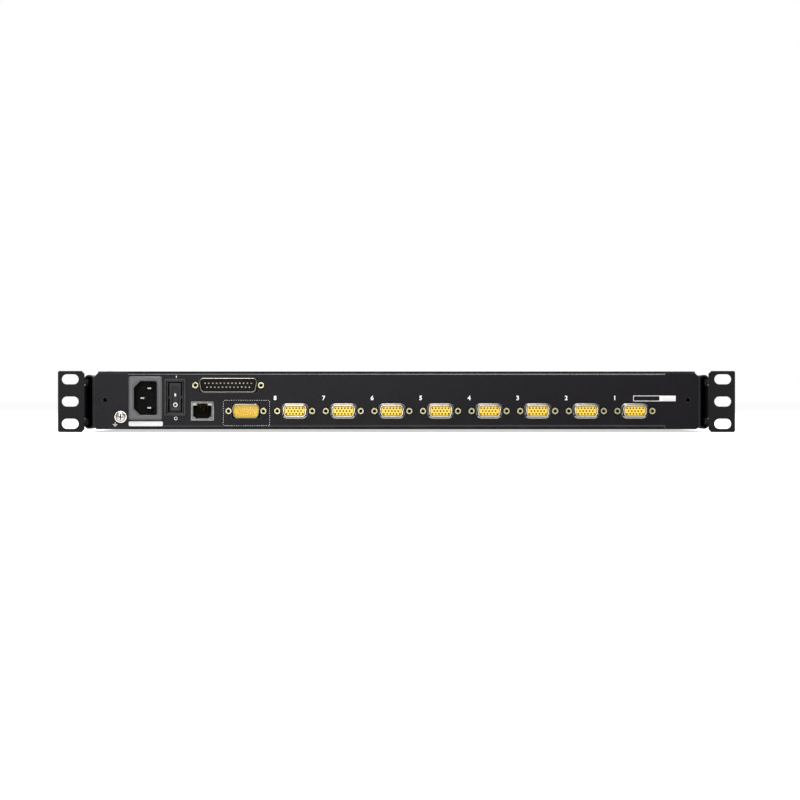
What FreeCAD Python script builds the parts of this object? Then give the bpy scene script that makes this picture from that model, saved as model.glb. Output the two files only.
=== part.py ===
# A rackmount console drawer, one rack unit high, closed as it sits in a rack.
#
# The fixed case is a folded steel pan with an electronics box across its rear third. The box carries the
# rear panel: a mains inlet, a rocker switch, a 25-pin chain port, a network jack, a second console port and
# a row of eight computer ports. Ball slides on the pan's walls carry the drawer, which holds a keyboard and
# a touchpad. The screen is the drawer's lid, hinged at the drawer's rear edge. L brackets ride in channels
# on the case's sides and meet the rack's rear posts.
#
# Frame: +X is the operator's right, +Y points to the rear of the rack and +Z up. The origin is the centre
# of the whole object's outline, on the plane of the rack ears' lower edges. Lengths are in millimetres.

import FreeCAD, Part
import math
import operator
import os
import types

import Sketcher

doc = FreeCAD.newDocument("console_drawer")
sheet = doc.addObject("Spreadsheet::Sheet", "sizes")

# Driving sizes, in millimetres and degrees
SIZES = {
    # Rack ears, to the 19-inch rack standard
    "ear_reach": 24.3,
    "slot_inset": 8.75,
    "slot_step": 15.875,
    "ear_height": 43.6,
    "ear_steel": 2.0,
    "slot_long": 12.0,
    "slot_wide": 7.1,
    "ear_corner": 0.8,
    "ear_nick": 2.0,
    "soft_corner": 1.2,
    # Case
    "case_width": 434.0,
    "case_depth": 680.0,
    "case_height": 41.5,
    "case_lift": 1.9,
    "case_steel": 1.2,
    "cover_steel": 1.0,
    "top_bevel": 3.0,
    "foot_bevel": 2.0,
    "top_return": 12.2,
    "cheek_width": 24.5,
    "cheek_hole": 3.2,
    "cheek_hole_inset": 8.0,
    "cheek_hole_rise": 21.0,
    "box_depth": 298.0,
    "cover_lip": 6.0,
    "vent_place": 165.0,
    "vent_start": 60.0,
    "vent_long": 22.0,
    "vent_wide": 3.0,
    "vent_step": 7.0,
    "panel_gap": 0.5,
    "panel_flange": 12.0,
    "panel_bend": 1.9,
    "cable_place": 110.0,
    "cable_rise": 19.0,
    "cable_wide": 34.0,
    "cable_tall": 18.0,
    "grommet_lip": 2.0,
    # Front ears and side channels
    "front_arm": 42.0,
    "channel_deep": 7.0,
    "channel_height": 38.7,
    "channel_rise": 0.3,
    "channel_lip": 6.0,
    "channel_round": 3.2,
    "channel_start": 48.0,
    # Rear brackets
    "bracket_out": 16.0,
    "bracket_steel": 1.6,
    "bracket_length": 270.0,
    "bracket_neck": 25.4,
    "bracket_tip": 5.0,
    "bracket_play": 0.4,
    # Ball slides
    "slide_height": 27.0,
    "slide_rise": 15.1,
    "slide_steel": 1.2,
    "ball_size": 2.2,
    "ball_play": 0.1,
    "slide_lip": 0.8,
    "web_gap": 1.4,
    "slide_bend": 1.5,
    "cage_steel": 0.5,
    "cage_length": 150.0,
    "cage_start": 117.0,
    "balls_pitch": 50.0,
    "ball_inset": 0.3,
    "slide_inset": 4.0,
    # Drawer
    "drawer_drop": 1.2,
    "tray_steel": 1.2,
    "tray_wall": 21.5,
    "tray_bend": 2.0,
    "slide_thick": 11.2,
    "drawer_start": 0.2,
    "drawer_end_gap": 4.0,
    "deck_rise": 13.1,
    "deck_skin": 2.4,
    "deck_wall": 1.6,
    "deck_play": 0.1,
    # Keyboard
    "key_pitch": 19.05,
    "key_gap": 0.85,
    "key_height": 8.5,
    "key_rise": 8.8,
    "key_taper": 1.6,
    "key_travel": 2.0,
    "well_play": 0.3,
    "keyboard_front": 140.0,
    "keypad_gap": 9.0,
    "key_stop": 0.3,
    "plate_rim": 1.0,
    # Touchpad
    "pad_width": 66.0,
    "pad_depth": 44.0,
    "pad_sink": 0.4,
    "pad_play": 0.3,
    "pad_front": 62.0,
    "pedestal_side": 8.0,
    "pedestal_end": 6.0,
    "click_depth": 13.0,
    "click_travel": 1.0,
    "click_rise": 0.8,
    "click_gap": 1.6,
    # Front handle and slide catches
    "handle_reach": 32.0,
    "handle_skin": 4.0,
    "handle_nose": 9.0,
    "handle_slope": 6.0,
    "handle_rise": 2.5,
    "handle_inside": 3.5,
    "handle_round": 2.0,
    "column_reach": 18.0,
    "column_gap": 0.6,
    "catch_width": 9.0,
    "catch_height": 14.0,
    "catch_reach": 3.0,
    "catch_depth": 10.0,
    "catch_travel": 4.0,
    # Lid with the screen
    "lid_gap": 6.2,
    "lid_play": 0.4,
    "lid_thick": 18.2,
    "lid_inset": 1.8,
    "lid_skin": 1.2,
    "lid_round": 2.0,
    "lid_front_gap": 2.2,
    "bezel_thick": 2.2,
    "screen_side": 14.3,
    "screen_top": 15.0,
    "screen_foot": 26.0,
    "panel_rim": 7.0,
    "panel_thick": 11.5,
    "grip_reach": 20.0,
    "grip_step": 0.6,
    "grip_nose": 5.0,
    "grip_slope": 4.0,
    "latch_width": 28.0,
    "latch_height": 8.0,
    "latch_reach": 2.0,
    "latch_depth": 10.0,
    "latch_travel": 3.0,
    "button_width": 9.0,
    "button_depth": 4.0,
    "button_rise": 0.8,
    "button_tall": 5.0,
    "button_pitch": 16.0,
    "button_travel": 0.8,
    # Lid hinges
    "hinge_back": 16.8,
    "hinge_spread": 150.0,
    "hinge_width": 31.0,
    "hinge_eye": 14.0,
    "hinge_pin": 6.0,
    "hinge_play": 0.05,
    "hinge_side_play": 1.0,
    "hinge_web": 10.0,
    "hinge_foot": 2.0,
    "hinge_bite": 8.0,
    "hinge_notch": 11.0,
    "barrel_depth": 13.0,
    # Rear ports, placed from the case's middle and above its underside
    "low_row": 13.1,
    "chain_row": 31.6,
    "inlet_place": 180.0,
    "inlet_rise": 22.4,
    "inlet_wide": 24.2,
    "inlet_tall": 31.4,
    "inlet_rim": 2.0,
    "inlet_body": 20.0,
    "inlet_lap": 4.0,
    "inlet_mouth_wide": 16.4,
    "inlet_mouth_tall": 24.2,
    "inlet_mouth_cut": 4.6,
    "inlet_mouth_deep": 16.5,
    "blade_wide": 4.0,
    "blade_thick": 2.0,
    "blade_spread": 7.0,
    "blade_offset": 2.7,
    "earth_offset": 2.3,
    "blade_short": 3.0,
    "switch_place": 158.8,
    "switch_rise": 22.9,
    "switch_wide": 15.9,
    "switch_tall": 26.8,
    "switch_rim": 1.5,
    "switch_lap": 1.6,
    "switch_border": 2.0,
    "switch_deep": 9.0,
    "rocker_wide": 8.9,
    "rocker_tall": 20.7,
    "rocker_thick": 3.4,
    "rocker_sink": 2.6,
    "rocker_tilt": -9.0,
    "rocker_axle": 2.4,
    "axle_play": 0.05,
    "axle_bite": 1.2,
    "chain_place": 120.5,
    "chain_wide": 40.4,
    "chain_tall": 10.1,
    "chain_screws": 47.04,
    "lan_place": 139.2,
    "lan_wide": 16.6,
    "lan_tall": 13.6,
    "lan_deep": 20.0,
    "lan_play": 0.4,
    "lan_rim": 1.2,
    "lan_mouth_wide": 12.2,
    "lan_mouth_tall": 7.4,
    "lan_mouth_rise": 2.6,
    "lan_key_wide": 7.0,
    "lan_key_tall": 2.2,
    "lan_mouth_deep": 13.0,
    "lan_sheet": 0.5,
    "console_place": 107.8,
    "console_wide": 18.6,
    "console_tall": 10.0,
    "port_place": 72.9,
    "port_pitch": 34.8,
    "port_wide": 16.4,
    "port_tall": 8.4,
    "port_screws": 24.99,
    "port_corner": 1.3,
    "shell_steel": 0.6,
    "shell_reach": 5.8,
    "root_flare": 1.4,
    "male_flare": 0.35,
    "root_reach": 0.9,
    "insert_sink": 0.6,
    "port_room": 2.2,
    "flange_steel": 0.8,
    "flange_over": 6.0,
    "flange_rise": 1.6,
    "pin_size": 0.9,
    "pin_reach": 5.0,
    "socket_deep": 2.0,
    "chain_pin_pitch": 2.76,
    "chain_pin_rows": 2.84,
    "hole_pitch": 2.29,
    "hole_rows": 2.04,
    "jack_across": 4.2,
    "jack_reach": 5.0,
    "jack_bore": 2.9,
    "jack_web": 1.0,
    "ground_place": 197.8,
    "ground_rise": 8.9,
    "ground_head": 7.5,
    "ground_washer": 8.6,
    "ground_thread": 4.0,
    "ground_tail": 5.0,
    "washer_thick": 0.8,
    "ground_head_thick": 2.4,
    # Electronics
    "board_rise": 4.0,
    "board_thick": 1.6,
    "board_width": 260.0,
    "board_depth": 180.0,
    "board_back_gap": 26.0,
    "board_side_gap": 7.8,
    "post_across": 5.5,
    "post_inset": 8.0,
    "chip_start": 60.0,
    "chip_step": 70.0,
    "chip_width": 32.0,
    "chip_height": 6.0,
    "supply_width": 84.0,
    "supply_depth": 170.0,
    "supply_height": 34.0,
    "supply_shift": 15.8,
    "supply_gap": 12.0,
}

OPERATORS = {"+": operator.add, "-": operator.sub, "*": operator.mul, "/": operator.truediv}
PLANES = {"XY": "XY_Plane", "XZ": "XZ_Plane", "YZ": "YZ_Plane"}
nodes = []


class Size:
    """A length or an angle: its number, and the spreadsheet expression that gives it."""

    def __init__(self, number, text):
        self.number = number
        self.text = text

    def __add__(self, other):
        return joined(self, "+", other)

    def __radd__(self, other):
        return joined(other, "+", self)

    def __sub__(self, other):
        return joined(self, "-", other)

    def __rsub__(self, other):
        return joined(other, "-", self)

    def __mul__(self, other):
        return joined(self, "*", other)

    def __rmul__(self, other):
        return joined(other, "*", self)

    def __truediv__(self, other):
        return joined(self, "/", other)

    def __neg__(self):
        return joined(-1, "*", self)


def as_size(value):
    """A bare number as a Size."""
    return value if isinstance(value, Size) else Size(float(value), f"({value})")


def joined(left, sign, right):
    """Two sizes joined by one sign of arithmetic."""
    left, right = as_size(left), as_size(right)
    number = OPERATORS[sign](left.number, right.number)
    return Size(number, f"({left.text} {sign} {right.text})")


def fill_sheet():
    """Writes the driving sizes into the sheet and returns them by name."""
    for row, (alias, number) in enumerate(SIZES.items(), 1):
        sheet.set(f"A{row}", alias)
        sheet.set(f"B{row}", str(number))
        sheet.setAlias(f"B{row}", alias)
    doc.recompute()
    return types.SimpleNamespace(
        **{alias: Size(float(sheet.get(alias)), f"sizes.{alias}") for alias in SIZES}
    )


def bind(thing, prop, size):
    """Ties one property of an object to the sheet."""
    thing.setExpression(prop, as_size(size).text)


def ordered(low, high):
    """The two ends of a span, lower first."""
    low, high = as_size(low), as_size(high)
    return (low, high) if low.number <= high.number else (high, low)


def box(name, x, y, z):
    """A block between two values on each axis."""
    block = doc.addObject("Part::Box", name)
    for span, side, axis in ((x, "Length", "x"), (y, "Width", "y"), (z, "Height", "z")):
        low, high = ordered(*span)
        bind(block, side, high - low)
        bind(block, f"Placement.Base.{axis}", low)
    return block


def turn_to(thing, axis, centre, span):
    """Stands a primitive that grows along its own Z on a row axis, with its end at the span's start."""
    low, high = ordered(*span)
    turned = {"x": ((0, 1, 0), 90), "y": ((1, 0, 0), -90), "z": ((0, 0, 1), 0)}[axis]
    thing.Placement.Rotation = FreeCAD.Rotation(FreeCAD.Vector(*turned[0]), turned[1])
    bind(thing, "Height", high - low)
    places = list(centre)
    places.insert("xyz".index(axis), low)
    for letter, place in zip("xyz", places):
        bind(thing, f"Placement.Base.{letter}", place)


def rod(name, axis, centre, across, span):
    """A round rod along a row axis. The centre gives its place on the two other axes."""
    cylinder = doc.addObject("Part::Cylinder", name)
    bind(cylinder, "Radius", across / 2)
    turn_to(cylinder, axis, centre, span)
    return cylinder


def hexagon(name, axis, centre, across_flats, span):
    """A hexagonal bar along a row axis."""
    bar = doc.addObject("Part::Prism", name)
    bar.Polygon = 6
    bind(bar, "Circumradius", across_flats / (2 * math.cos(math.pi / 6)))
    turn_to(bar, axis, centre, span)
    return bar


def fuse(name, *parts):
    """Several overlapping or touching solids as one."""
    whole = doc.addObject("Part::MultiFuse", name)
    whole.Shapes = list(parts)
    whole.Refine = True
    return whole


def cut(name, base, *tools):
    """A solid with tools taken out of it."""
    rest = doc.addObject("Part::Cut", name)
    rest.Base = base
    rest.Tool = tools[0] if len(tools) == 1 else together(f"{name}_tools", *tools)
    rest.Refine = True
    return rest


def together(name, *parts):
    """Several separate solids under one name."""
    group = doc.addObject("Part::Compound", name)
    group.Links = list(parts)
    return group


def copies(name, master, steps):
    """Copies of one solid, each moved by a step from the master's place. The master itself isn't kept."""
    doc.recompute()
    solids = []
    for step in steps:
        moved = master.Shape.copy()
        moved.translate(FreeCAD.Vector(*[as_size(value).number for value in step]))
        solids.append(moved)
    row = doc.addObject("Part::Feature", name)
    row.Shape = Part.Compound(solids)
    return row


def sketch_on(body, name, plane, offset, outline):
    """A closed outline on one of the body's own planes, each corner tied to the sheet."""
    face = next(f for f in body.Origin.OriginFeatures if f.Role == PLANES[plane])
    sketch = body.newObject("Sketcher::SketchObject", name)
    sketch.AttachmentSupport = [(face, "")]
    sketch.MapMode = "FlatFace"
    bind(sketch, "AttachmentOffset.Base.z", offset)
    corners = [(as_size(u), as_size(v)) for u, v in outline]
    vectors = [FreeCAD.Vector(u.number, v.number, 0) for u, v in corners]
    for start, end in zip(vectors, vectors[1:] + vectors[:1]):
        sketch.addGeometry(Part.LineSegment(start, end), False)
    count = len(corners)
    for index in range(count):
        sketch.addConstraint(Sketcher.Constraint("Coincident", index, 2, (index + 1) % count, 1))
    for index, corner in enumerate(corners):
        for kind, place in zip(("DistanceX", "DistanceY"), corner):
            made = sketch.addConstraint(
                Sketcher.Constraint(kind, -1, 1, index, 1, place.number)
            )
            bind(sketch, f"Constraints[{made}]", place)
    return sketch


def pad(name, plane, outline, span, *rounds):
    """A closed outline padded along its plane's axis. Each round is a set of corners and their radius."""
    low, high = ordered(*span)
    body = doc.addObject("PartDesign::Body", name)
    offset = -high if plane == "XZ" else low
    sketch = sketch_on(body, f"{name}_outline", plane, offset, outline)
    solid = body.newObject("PartDesign::Pad", f"{name}_pad")
    solid.Profile = sketch
    bind(solid, "Length", high - low)
    for number, (corners, radius) in enumerate(rounds):
        doc.recompute()
        fillet = body.newObject("PartDesign::Fillet", f"{name}_rounds_{number}")
        fillet.Base = (solid, edges_at(solid.Shape, plane, [outline[i] for i in corners]))
        bind(fillet, "Radius", radius)
        solid = fillet
    return body


def edges_at(shape, plane, corners):
    """The names of the edges that stand on the given corners of an outline."""
    first, second = ("xyz".index(letter) for letter in plane.lower())
    along = 3 - first - second
    names = []
    for number, edge in enumerate(shape.Edges, 1):
        ends = [vertex.Point for vertex in edge.Vertexes]
        if len(ends) < 2 or abs(ends[0][along] - ends[1][along]) < 0.01:
            continue
        for u, v in corners:
            near = [
                math.hypot(end[first] - as_size(u).number, end[second] - as_size(v).number) < 0.01
                for end in ends
            ]
            if all(near):
                names.append(f"Edge{number}")
    return names


def eased(name, base, axis, size):
    """A block with all of its straight edges along one row axis chamfered."""
    doc.recompute()
    chamfer = doc.addObject("Part::Chamfer", name)
    chamfer.Base = base
    along = "xyz".index(axis)
    chosen = []
    for number, edge in enumerate(base.Shape.Edges, 1):
        ends = [vertex.Point for vertex in edge.Vertexes]
        if len(ends) == 2 and abs(abs(ends[0][along] - ends[1][along]) - edge.Length) < 0.001:
            chosen.append((number, size.number, size.number))
    chamfer.Edges = chosen
    return chamfer


def node(thing, label):
    """Marks an object as a finished sub-part, under the label that names its file."""
    thing.Label = label
    nodes.append(thing)
    return thing


s = fill_sheet()

# Planes and faces that several sub-parts share
overall_depth = s.handle_reach + s.case_depth + s.bracket_out
handle_front = -overall_depth / 2
ear_front = handle_front + s.handle_reach
case_front = ear_front + s.ear_steel
rear_plane = ear_front + s.case_depth
panel_back = rear_plane - s.case_steel
box_front = rear_plane - s.box_depth
half_case = s.case_width / 2
ear_edge = half_case + s.ear_reach
case_bottom = s.case_lift
floor_top = case_bottom + s.case_steel
case_top = case_bottom + s.case_height
cover_bottom = case_top - s.cover_steel
return_bottom = cover_bottom - s.case_steel
wall_inside = half_case - s.case_steel
cheek_inside = half_case - s.cheek_width
low_row = case_bottom + s.low_row
chain_row = case_bottom + s.chain_row

# Drawer levels
tray_bottom = floor_top + s.drawer_drop
tray_floor = tray_bottom + s.tray_steel
tray_outside = wall_inside - s.slide_thick
tray_inside = tray_outside - s.tray_steel
drawer_front = case_front - s.drawer_start
drawer_rear = box_front - s.drawer_end_gap
deck_top = tray_floor + s.deck_rise
key_bottom = tray_floor + s.key_rise
key_top = key_bottom + s.key_height

# Lid levels
lid_bottom = deck_top + s.lid_gap
lid_top = lid_bottom + s.lid_thick
lid_front = drawer_front + s.lid_front_gap
lid_half = tray_outside - s.lid_inset
hinge_y = drawer_rear - s.hinge_back - s.tray_steel
hinge_z = lid_bottom + s.lid_thick / 2
bezel_top = lid_bottom + s.bezel_thick
barrel_front = hinge_y - s.barrel_depth


def case_profile(side):
    """One side wall's corners from the floor up, with its bevels and its top return, outside then inside."""
    steel = s.case_steel
    slant = steel * math.tan(math.pi / 8)
    outer = [
        (side * (half_case - s.foot_bevel), case_bottom),
        (side * half_case, case_bottom + s.foot_bevel),
        (side * half_case, cover_bottom - s.top_bevel),
        (side * (half_case - s.top_bevel), cover_bottom),
        (side * (half_case - s.top_return), cover_bottom),
    ]
    inner = [
        (side * (half_case - s.top_return), return_bottom),
        (side * (half_case - s.top_bevel - slant), return_bottom),
        (side * wall_inside, cover_bottom - s.top_bevel - slant),
        (side * wall_inside, case_bottom + s.foot_bevel + slant),
        (side * (half_case - s.foot_bevel - slant), floor_top),
    ]
    return outer, inner


def make_case_pan():
    """The folded pan: floor and side walls with inward returns. Its floor runs on under the rear panel."""
    right_outer, right_inner = case_profile(1)
    left_outer, left_inner = case_profile(-1)
    outline = right_outer + right_inner + left_inner[::-1] + left_outer[::-1]
    walls = pad("pan_walls", "XZ", outline, (case_front, panel_back))
    lip = box("pan_lip", (-cheek_inside, cheek_inside), (panel_back, rear_plane), (case_bottom, floor_top))
    node(fuse("case_pan", walls, lip), "case_pan")


def make_cheeks():
    """The rear panel's flat ends, which close the pan's side walls, and the holes through them."""
    cheeks = []
    holes = []
    for side, word in ((1, "right"), (-1, "left")):
        outer = case_profile(side)[0][:4]
        outline = [(side * cheek_inside, case_bottom), *outer, (side * cheek_inside, cover_bottom)]
        cheeks.append(pad(f"cheek_{word}", "XZ", outline, (panel_back, rear_plane)))
        place = (side * (half_case - s.cheek_hole_inset), case_bottom + s.cheek_hole_rise)
        holes.append(
            rod(f"cheek_hole_{word}", "y", place, s.cheek_hole, (panel_back - 1, rear_plane + 1))
        )
    ground = (s.ground_place, case_bottom + s.ground_rise)
    holes.append(rod("ground_hole", "y", ground, s.ground_thread, (panel_back - 1, rear_plane + 1)))
    return cheeks, holes


def make_case_cover():
    """The lid of the electronics box, with a turned-down front lip and two banks of vent slots."""
    half = half_case - s.top_bevel
    sheet_top = box("cover_sheet", (-half, half), (box_front, rear_plane), (cover_bottom, case_top))
    lip_half = half_case - s.top_return - s.panel_gap
    lip = box(
        "cover_front_lip",
        (-lip_half, lip_half),
        (box_front, box_front + s.cover_steel),
        (cover_bottom - s.cover_lip, case_top),
    )
    vents = []
    for bank, middle in enumerate((s.vent_place, -s.vent_place)):
        for count in range(8):
            along = box_front + s.vent_start + count * s.vent_step
            vents.append(
                box(
                    f"vent_{bank}_{count}",
                    (middle - s.vent_long / 2, middle + s.vent_long / 2),
                    (along, along + s.vent_wide),
                    (cover_bottom - 1, case_top + 1),
                )
            )
    node(cut("case_cover", fuse("cover_folded", sheet_top, lip), *vents), "case_cover")


def make_rear_panel():
    """The panel that holds every port: flanges under the cover and on the floor, and flat cheeks at its ends."""
    front = rear_plane - s.panel_flange
    steel = s.case_steel
    outline = [
        (front, floor_top),
        (rear_plane, floor_top),
        (rear_plane, cover_bottom),
        (front, cover_bottom),
        (front, cover_bottom - steel),
        (panel_back, cover_bottom - steel),
        (panel_back, floor_top + steel),
        (front, floor_top + steel),
    ]
    bends = (((1, 2), s.panel_bend), ((5, 6), s.panel_bend - steel))
    folded = pad("panel_folded", "YZ", outline, (-cheek_inside, cheek_inside), *bends)
    cheeks, openings = make_cheeks()
    through = (panel_back - 1, rear_plane + 1)
    openings += [
        mouth("inlet_opening", s.inlet_place, case_bottom + s.inlet_rise, s.inlet_body, s.inlet_tall - s.inlet_lap, through),
        mouth(
            "switch_opening",
            s.switch_place,
            case_bottom + s.switch_rise,
            s.switch_wide - s.switch_lap,
            s.switch_tall - s.switch_lap,
            through,
        ),
        mouth("lan_opening", s.lan_place, low_row, s.lan_wide + s.lan_play, s.lan_tall + s.lan_play, through),
        mouth("chain_opening", s.chain_place, chain_row, s.chain_wide + s.port_room, s.chain_tall + 1, through),
        mouth("console_opening", s.console_place, low_row, s.console_wide + s.port_room, s.console_tall + 1, through),
    ]
    for number in range(8):
        place = s.port_place - number * s.port_pitch
        openings.append(
            mouth(f"port_opening_{number}", place, low_row, s.port_wide + s.port_room, s.port_tall + 1, through)
        )
    node(cut("rear_panel", fuse("panel_sheet", folded, *cheeks), *openings), "rear_panel")


def mouth(name, x, z, wide, tall, span):
    """A rectangular opening or block centred on a point of the rear panel."""
    return box(name, (x - wide / 2, x + wide / 2), span, (z - tall / 2, z + tall / 2))


def make_bulkhead():
    """The wall between the drawer bay and the electronics box, with its cable hole and grommet."""
    start = box_front + s.cover_steel
    span = (start, start + s.case_steel)
    middle_half = half_case - s.top_return - s.panel_gap
    ends = (floor_top + s.foot_bevel, return_bottom - s.top_bevel)
    wall = fuse(
        "bulkhead_wall",
        box("bulkhead_middle", (-middle_half, middle_half), span, (floor_top, cover_bottom)),
        box("bulkhead_ends", (-wall_inside, wall_inside), span, ends),
    )
    x, z = -s.cable_place, case_bottom + s.cable_rise
    through = (start - 1, start + s.case_steel + 1)
    node(cut("bulkhead", wall, mouth("cable_opening", x, z, s.cable_wide, s.cable_tall, through)), "bulkhead")
    lip = s.grommet_lip
    back = start + s.case_steel + lip / 2
    front = start - lip / 2
    trim = fuse(
        "grommet_solid",
        mouth("grommet_front", x, z, s.cable_wide + 2 * lip, s.cable_tall + 2 * lip, (front, start)),
        mouth("grommet_throat", x, z, s.cable_wide, s.cable_tall, (front, back)),
    )
    bore = mouth(
        "grommet_bore", x, z, s.cable_wide - 2 * lip, s.cable_tall - 2 * lip, (front - 1, back + 1)
    )
    node(cut("cable_grommet", trim, bore), "cable_grommet")


def ear_plate(name, side, inner, span):
    """A rack ear with its three slots, as a flat plate facing along Y."""
    outer, nick, corner = ear_edge, s.ear_nick, s.ear_corner
    lower = [
        (side * inner, nick),
        (side * (inner + nick), 0),
        (side * (outer - corner), 0),
        (side * outer, corner),
    ]
    outline = lower + [(x, s.ear_height - z) for x, z in lower[::-1]]
    plate = pad(f"{name}_plate", "XZ", outline, span)
    slots = []
    low, high = ordered(*span)
    through = (low - 1, high + 1)
    for count in (-1, 0, 1):
        x = side * (ear_edge - s.slot_inset)
        z = s.ear_height / 2 + count * s.slot_step
        run = (s.slot_long - s.slot_wide) / 2
        slots.append(mouth(f"{name}_slot_{count + 1}", x, z, 2 * run, s.slot_wide, through))
        for end in (-1, 1):
            slots.append(
                rod(f"{name}_end_{count + 1}_{end + 1}", "y", (x + end * run, z), s.slot_wide, through)
            )
    return plate, slots


def make_front_ears():
    """The two L-shaped ears screwed to the front of the case's side walls."""
    ears = []
    for side, word in ((1, "right"), (-1, "left")):
        plate, slots = ear_plate(f"front_ear_{word}", side, half_case, (ear_front, case_front))
        arm = box(
            f"front_arm_{word}",
            (side * half_case, side * (half_case + s.ear_steel)),
            (ear_front, ear_front + s.front_arm),
            (case_bottom + s.foot_bevel, cover_bottom - s.top_bevel),
        )
        ears.append(cut(f"front_ear_{word}", fuse(f"front_ear_{word}_folded", plate, arm), *slots))
    node(together("front_ears", *ears), "front_ears")


channel_outside = half_case + s.channel_deep
channel_bottom = case_bottom + s.channel_rise
channel_top = channel_bottom + s.channel_height


def make_side_channels():
    """The C-shaped channels on the case's sides, in which the rear brackets slide."""
    steel = s.case_steel
    channels = []
    for side, word in ((1, "right"), (-1, "left")):
        web, lip, outside = half_case, s.channel_lip, channel_outside
        outline = [
            (side * web, channel_bottom),
            (side * outside, channel_bottom),
            (side * outside, channel_bottom + lip),
            (side * (outside - steel), channel_bottom + lip),
            (side * (outside - steel), channel_bottom + steel),
            (side * (web + steel), channel_bottom + steel),
            (side * (web + steel), channel_top - steel),
            (side * (outside - steel), channel_top - steel),
            (side * (outside - steel), channel_top - lip),
            (side * outside, channel_top - lip),
            (side * outside, channel_top),
            (side * web, channel_top),
        ]
        run = (ear_front + s.channel_start, rear_plane)
        bends = (((0, 1, 10, 11), s.channel_round), ((4, 5, 6, 7), s.channel_round - steel))
        channels.append(pad(f"channel_{word}", "XZ", outline, run, *bends))
    node(together("side_channels", *channels), "side_channels")


def make_rear_bracket(side, word):
    """An L bracket: a hat-shaped arm that rides in the side channel, its web flush with the channel's lips,
    and a rack ear folded out from the web."""
    steel = s.bracket_steel
    outside = channel_outside - s.case_steel - s.bracket_play
    face = channel_outside
    step = face - outside
    middle = channel_bottom + s.channel_height / 2
    half = s.channel_height / 2 - s.channel_round
    neck = s.bracket_neck / 2
    outline = [
        (side * outside, middle - half),
        (side * outside, middle - neck),
        (side * face, middle - neck + step),
        (side * face, middle + neck - step),
        (side * outside, middle + neck),
        (side * outside, middle + half),
        (side * (outside - steel), middle + half),
        (side * (outside - steel), middle + neck),
        (side * (face - steel), middle + neck - step),
        (side * (face - steel), middle - neck + step),
        (side * (outside - steel), middle - neck),
        (side * (outside - steel), middle - half),
    ]
    ear_back = rear_plane + s.bracket_out
    ear_face = ear_back - s.ear_steel
    arm = pad(f"arm_{word}", "XZ", outline, (ear_back - s.bracket_length, rear_plane + s.bracket_tip))
    reach = box(
        f"neck_{word}",
        (side * (face - steel), side * face),
        (rear_plane, ear_back),
        (middle - neck + step, middle + neck - step),
    )
    plate, slots = ear_plate(f"bracket_{word}", side, face - steel, (ear_face, ear_back))
    folded = fuse(f"bracket_{word}_folded", arm, reach, plate)
    node(cut(f"rear_bracket_{word}", folded, *slots), f"rear_bracket_{word}")


slide_middle_z = case_bottom + s.case_steel + s.slide_rise
ball_gap = s.ball_size + 2 * s.ball_play
slide_run = (case_front + s.slide_inset, box_front - s.slide_inset)


def rail_outline(side, web, tip, half, lip):
    """A C-shaped rail: a web at one side, two flanges, and small lips that keep the balls in."""
    steel = s.slide_steel
    toward = 1 if web.number < tip.number else -1
    mid = slide_middle_z
    upper = [
        (side * tip, mid + half),
        (side * tip, mid + half - steel - lip),
        (side * (tip - toward * steel), mid + half - steel - lip),
        (side * (tip - toward * steel), mid + half - steel),
        (side * (web + toward * steel), mid + half - steel),
    ]
    lower = [(u, 2 * mid - v) for u, v in upper[::-1]]
    outline = [(side * web, mid + half), *upper, *lower, (side * web, mid - half)]
    rolled = (((0, 11), s.slide_bend), ((1, 10), s.slide_bend / 2))
    return outline, rolled


slide_web = wall_inside
middle_web = slide_web - s.slide_steel - s.web_gap
outer_tip = tray_outside + 1.6
middle_tip = tray_outside + 2.2
inner_tip = middle_web - s.slide_steel - s.web_gap
outer_half = s.slide_height / 2
middle_half_height = outer_half - s.slide_steel - ball_gap
inner_half = middle_half_height - s.slide_steel - ball_gap


def make_slides():
    """The two telescopic ball slides: outer, middle and inner rails, and the ball cages between them."""
    outers, inners = [], []
    for side, word in ((1, "right"), (-1, "left")):
        outline, rolled = rail_outline(side, slide_web, outer_tip, outer_half, s.slide_lip)
        outers.append(pad(f"outer_rail_{word}", "XZ", outline, slide_run, *rolled))
        outline, rolled = rail_outline(side, middle_web, middle_tip, middle_half_height, s.slide_lip)
        name = f"slide_middle_{word}"
        node(pad(name, "XZ", outline, slide_run, *rolled), name)
        outline, rolled = rail_outline(side, tray_outside, inner_tip, inner_half, s.slide_lip / 2)
        run = (slide_run[0], drawer_rear - s.slide_inset)
        inners.append(pad(f"inner_rail_{word}", "XZ", outline, run, *rolled))
    node(together("slide_outers", *outers), "slide_outers")
    node(together("slide_inners", *inners), "slide_inners")
    outer_web = slide_web - s.slide_steel - (s.web_gap - s.cage_steel) / 2
    make_ball_cages("outer", outer_web, outer_tip + s.slide_steel, outer_half - s.slide_steel)
    inner_web = middle_web - s.slide_steel - (s.web_gap - s.cage_steel) / 2
    make_ball_cages("inner", inner_web, middle_tip + s.slide_steel, middle_half_height - s.slide_steel)


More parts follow.
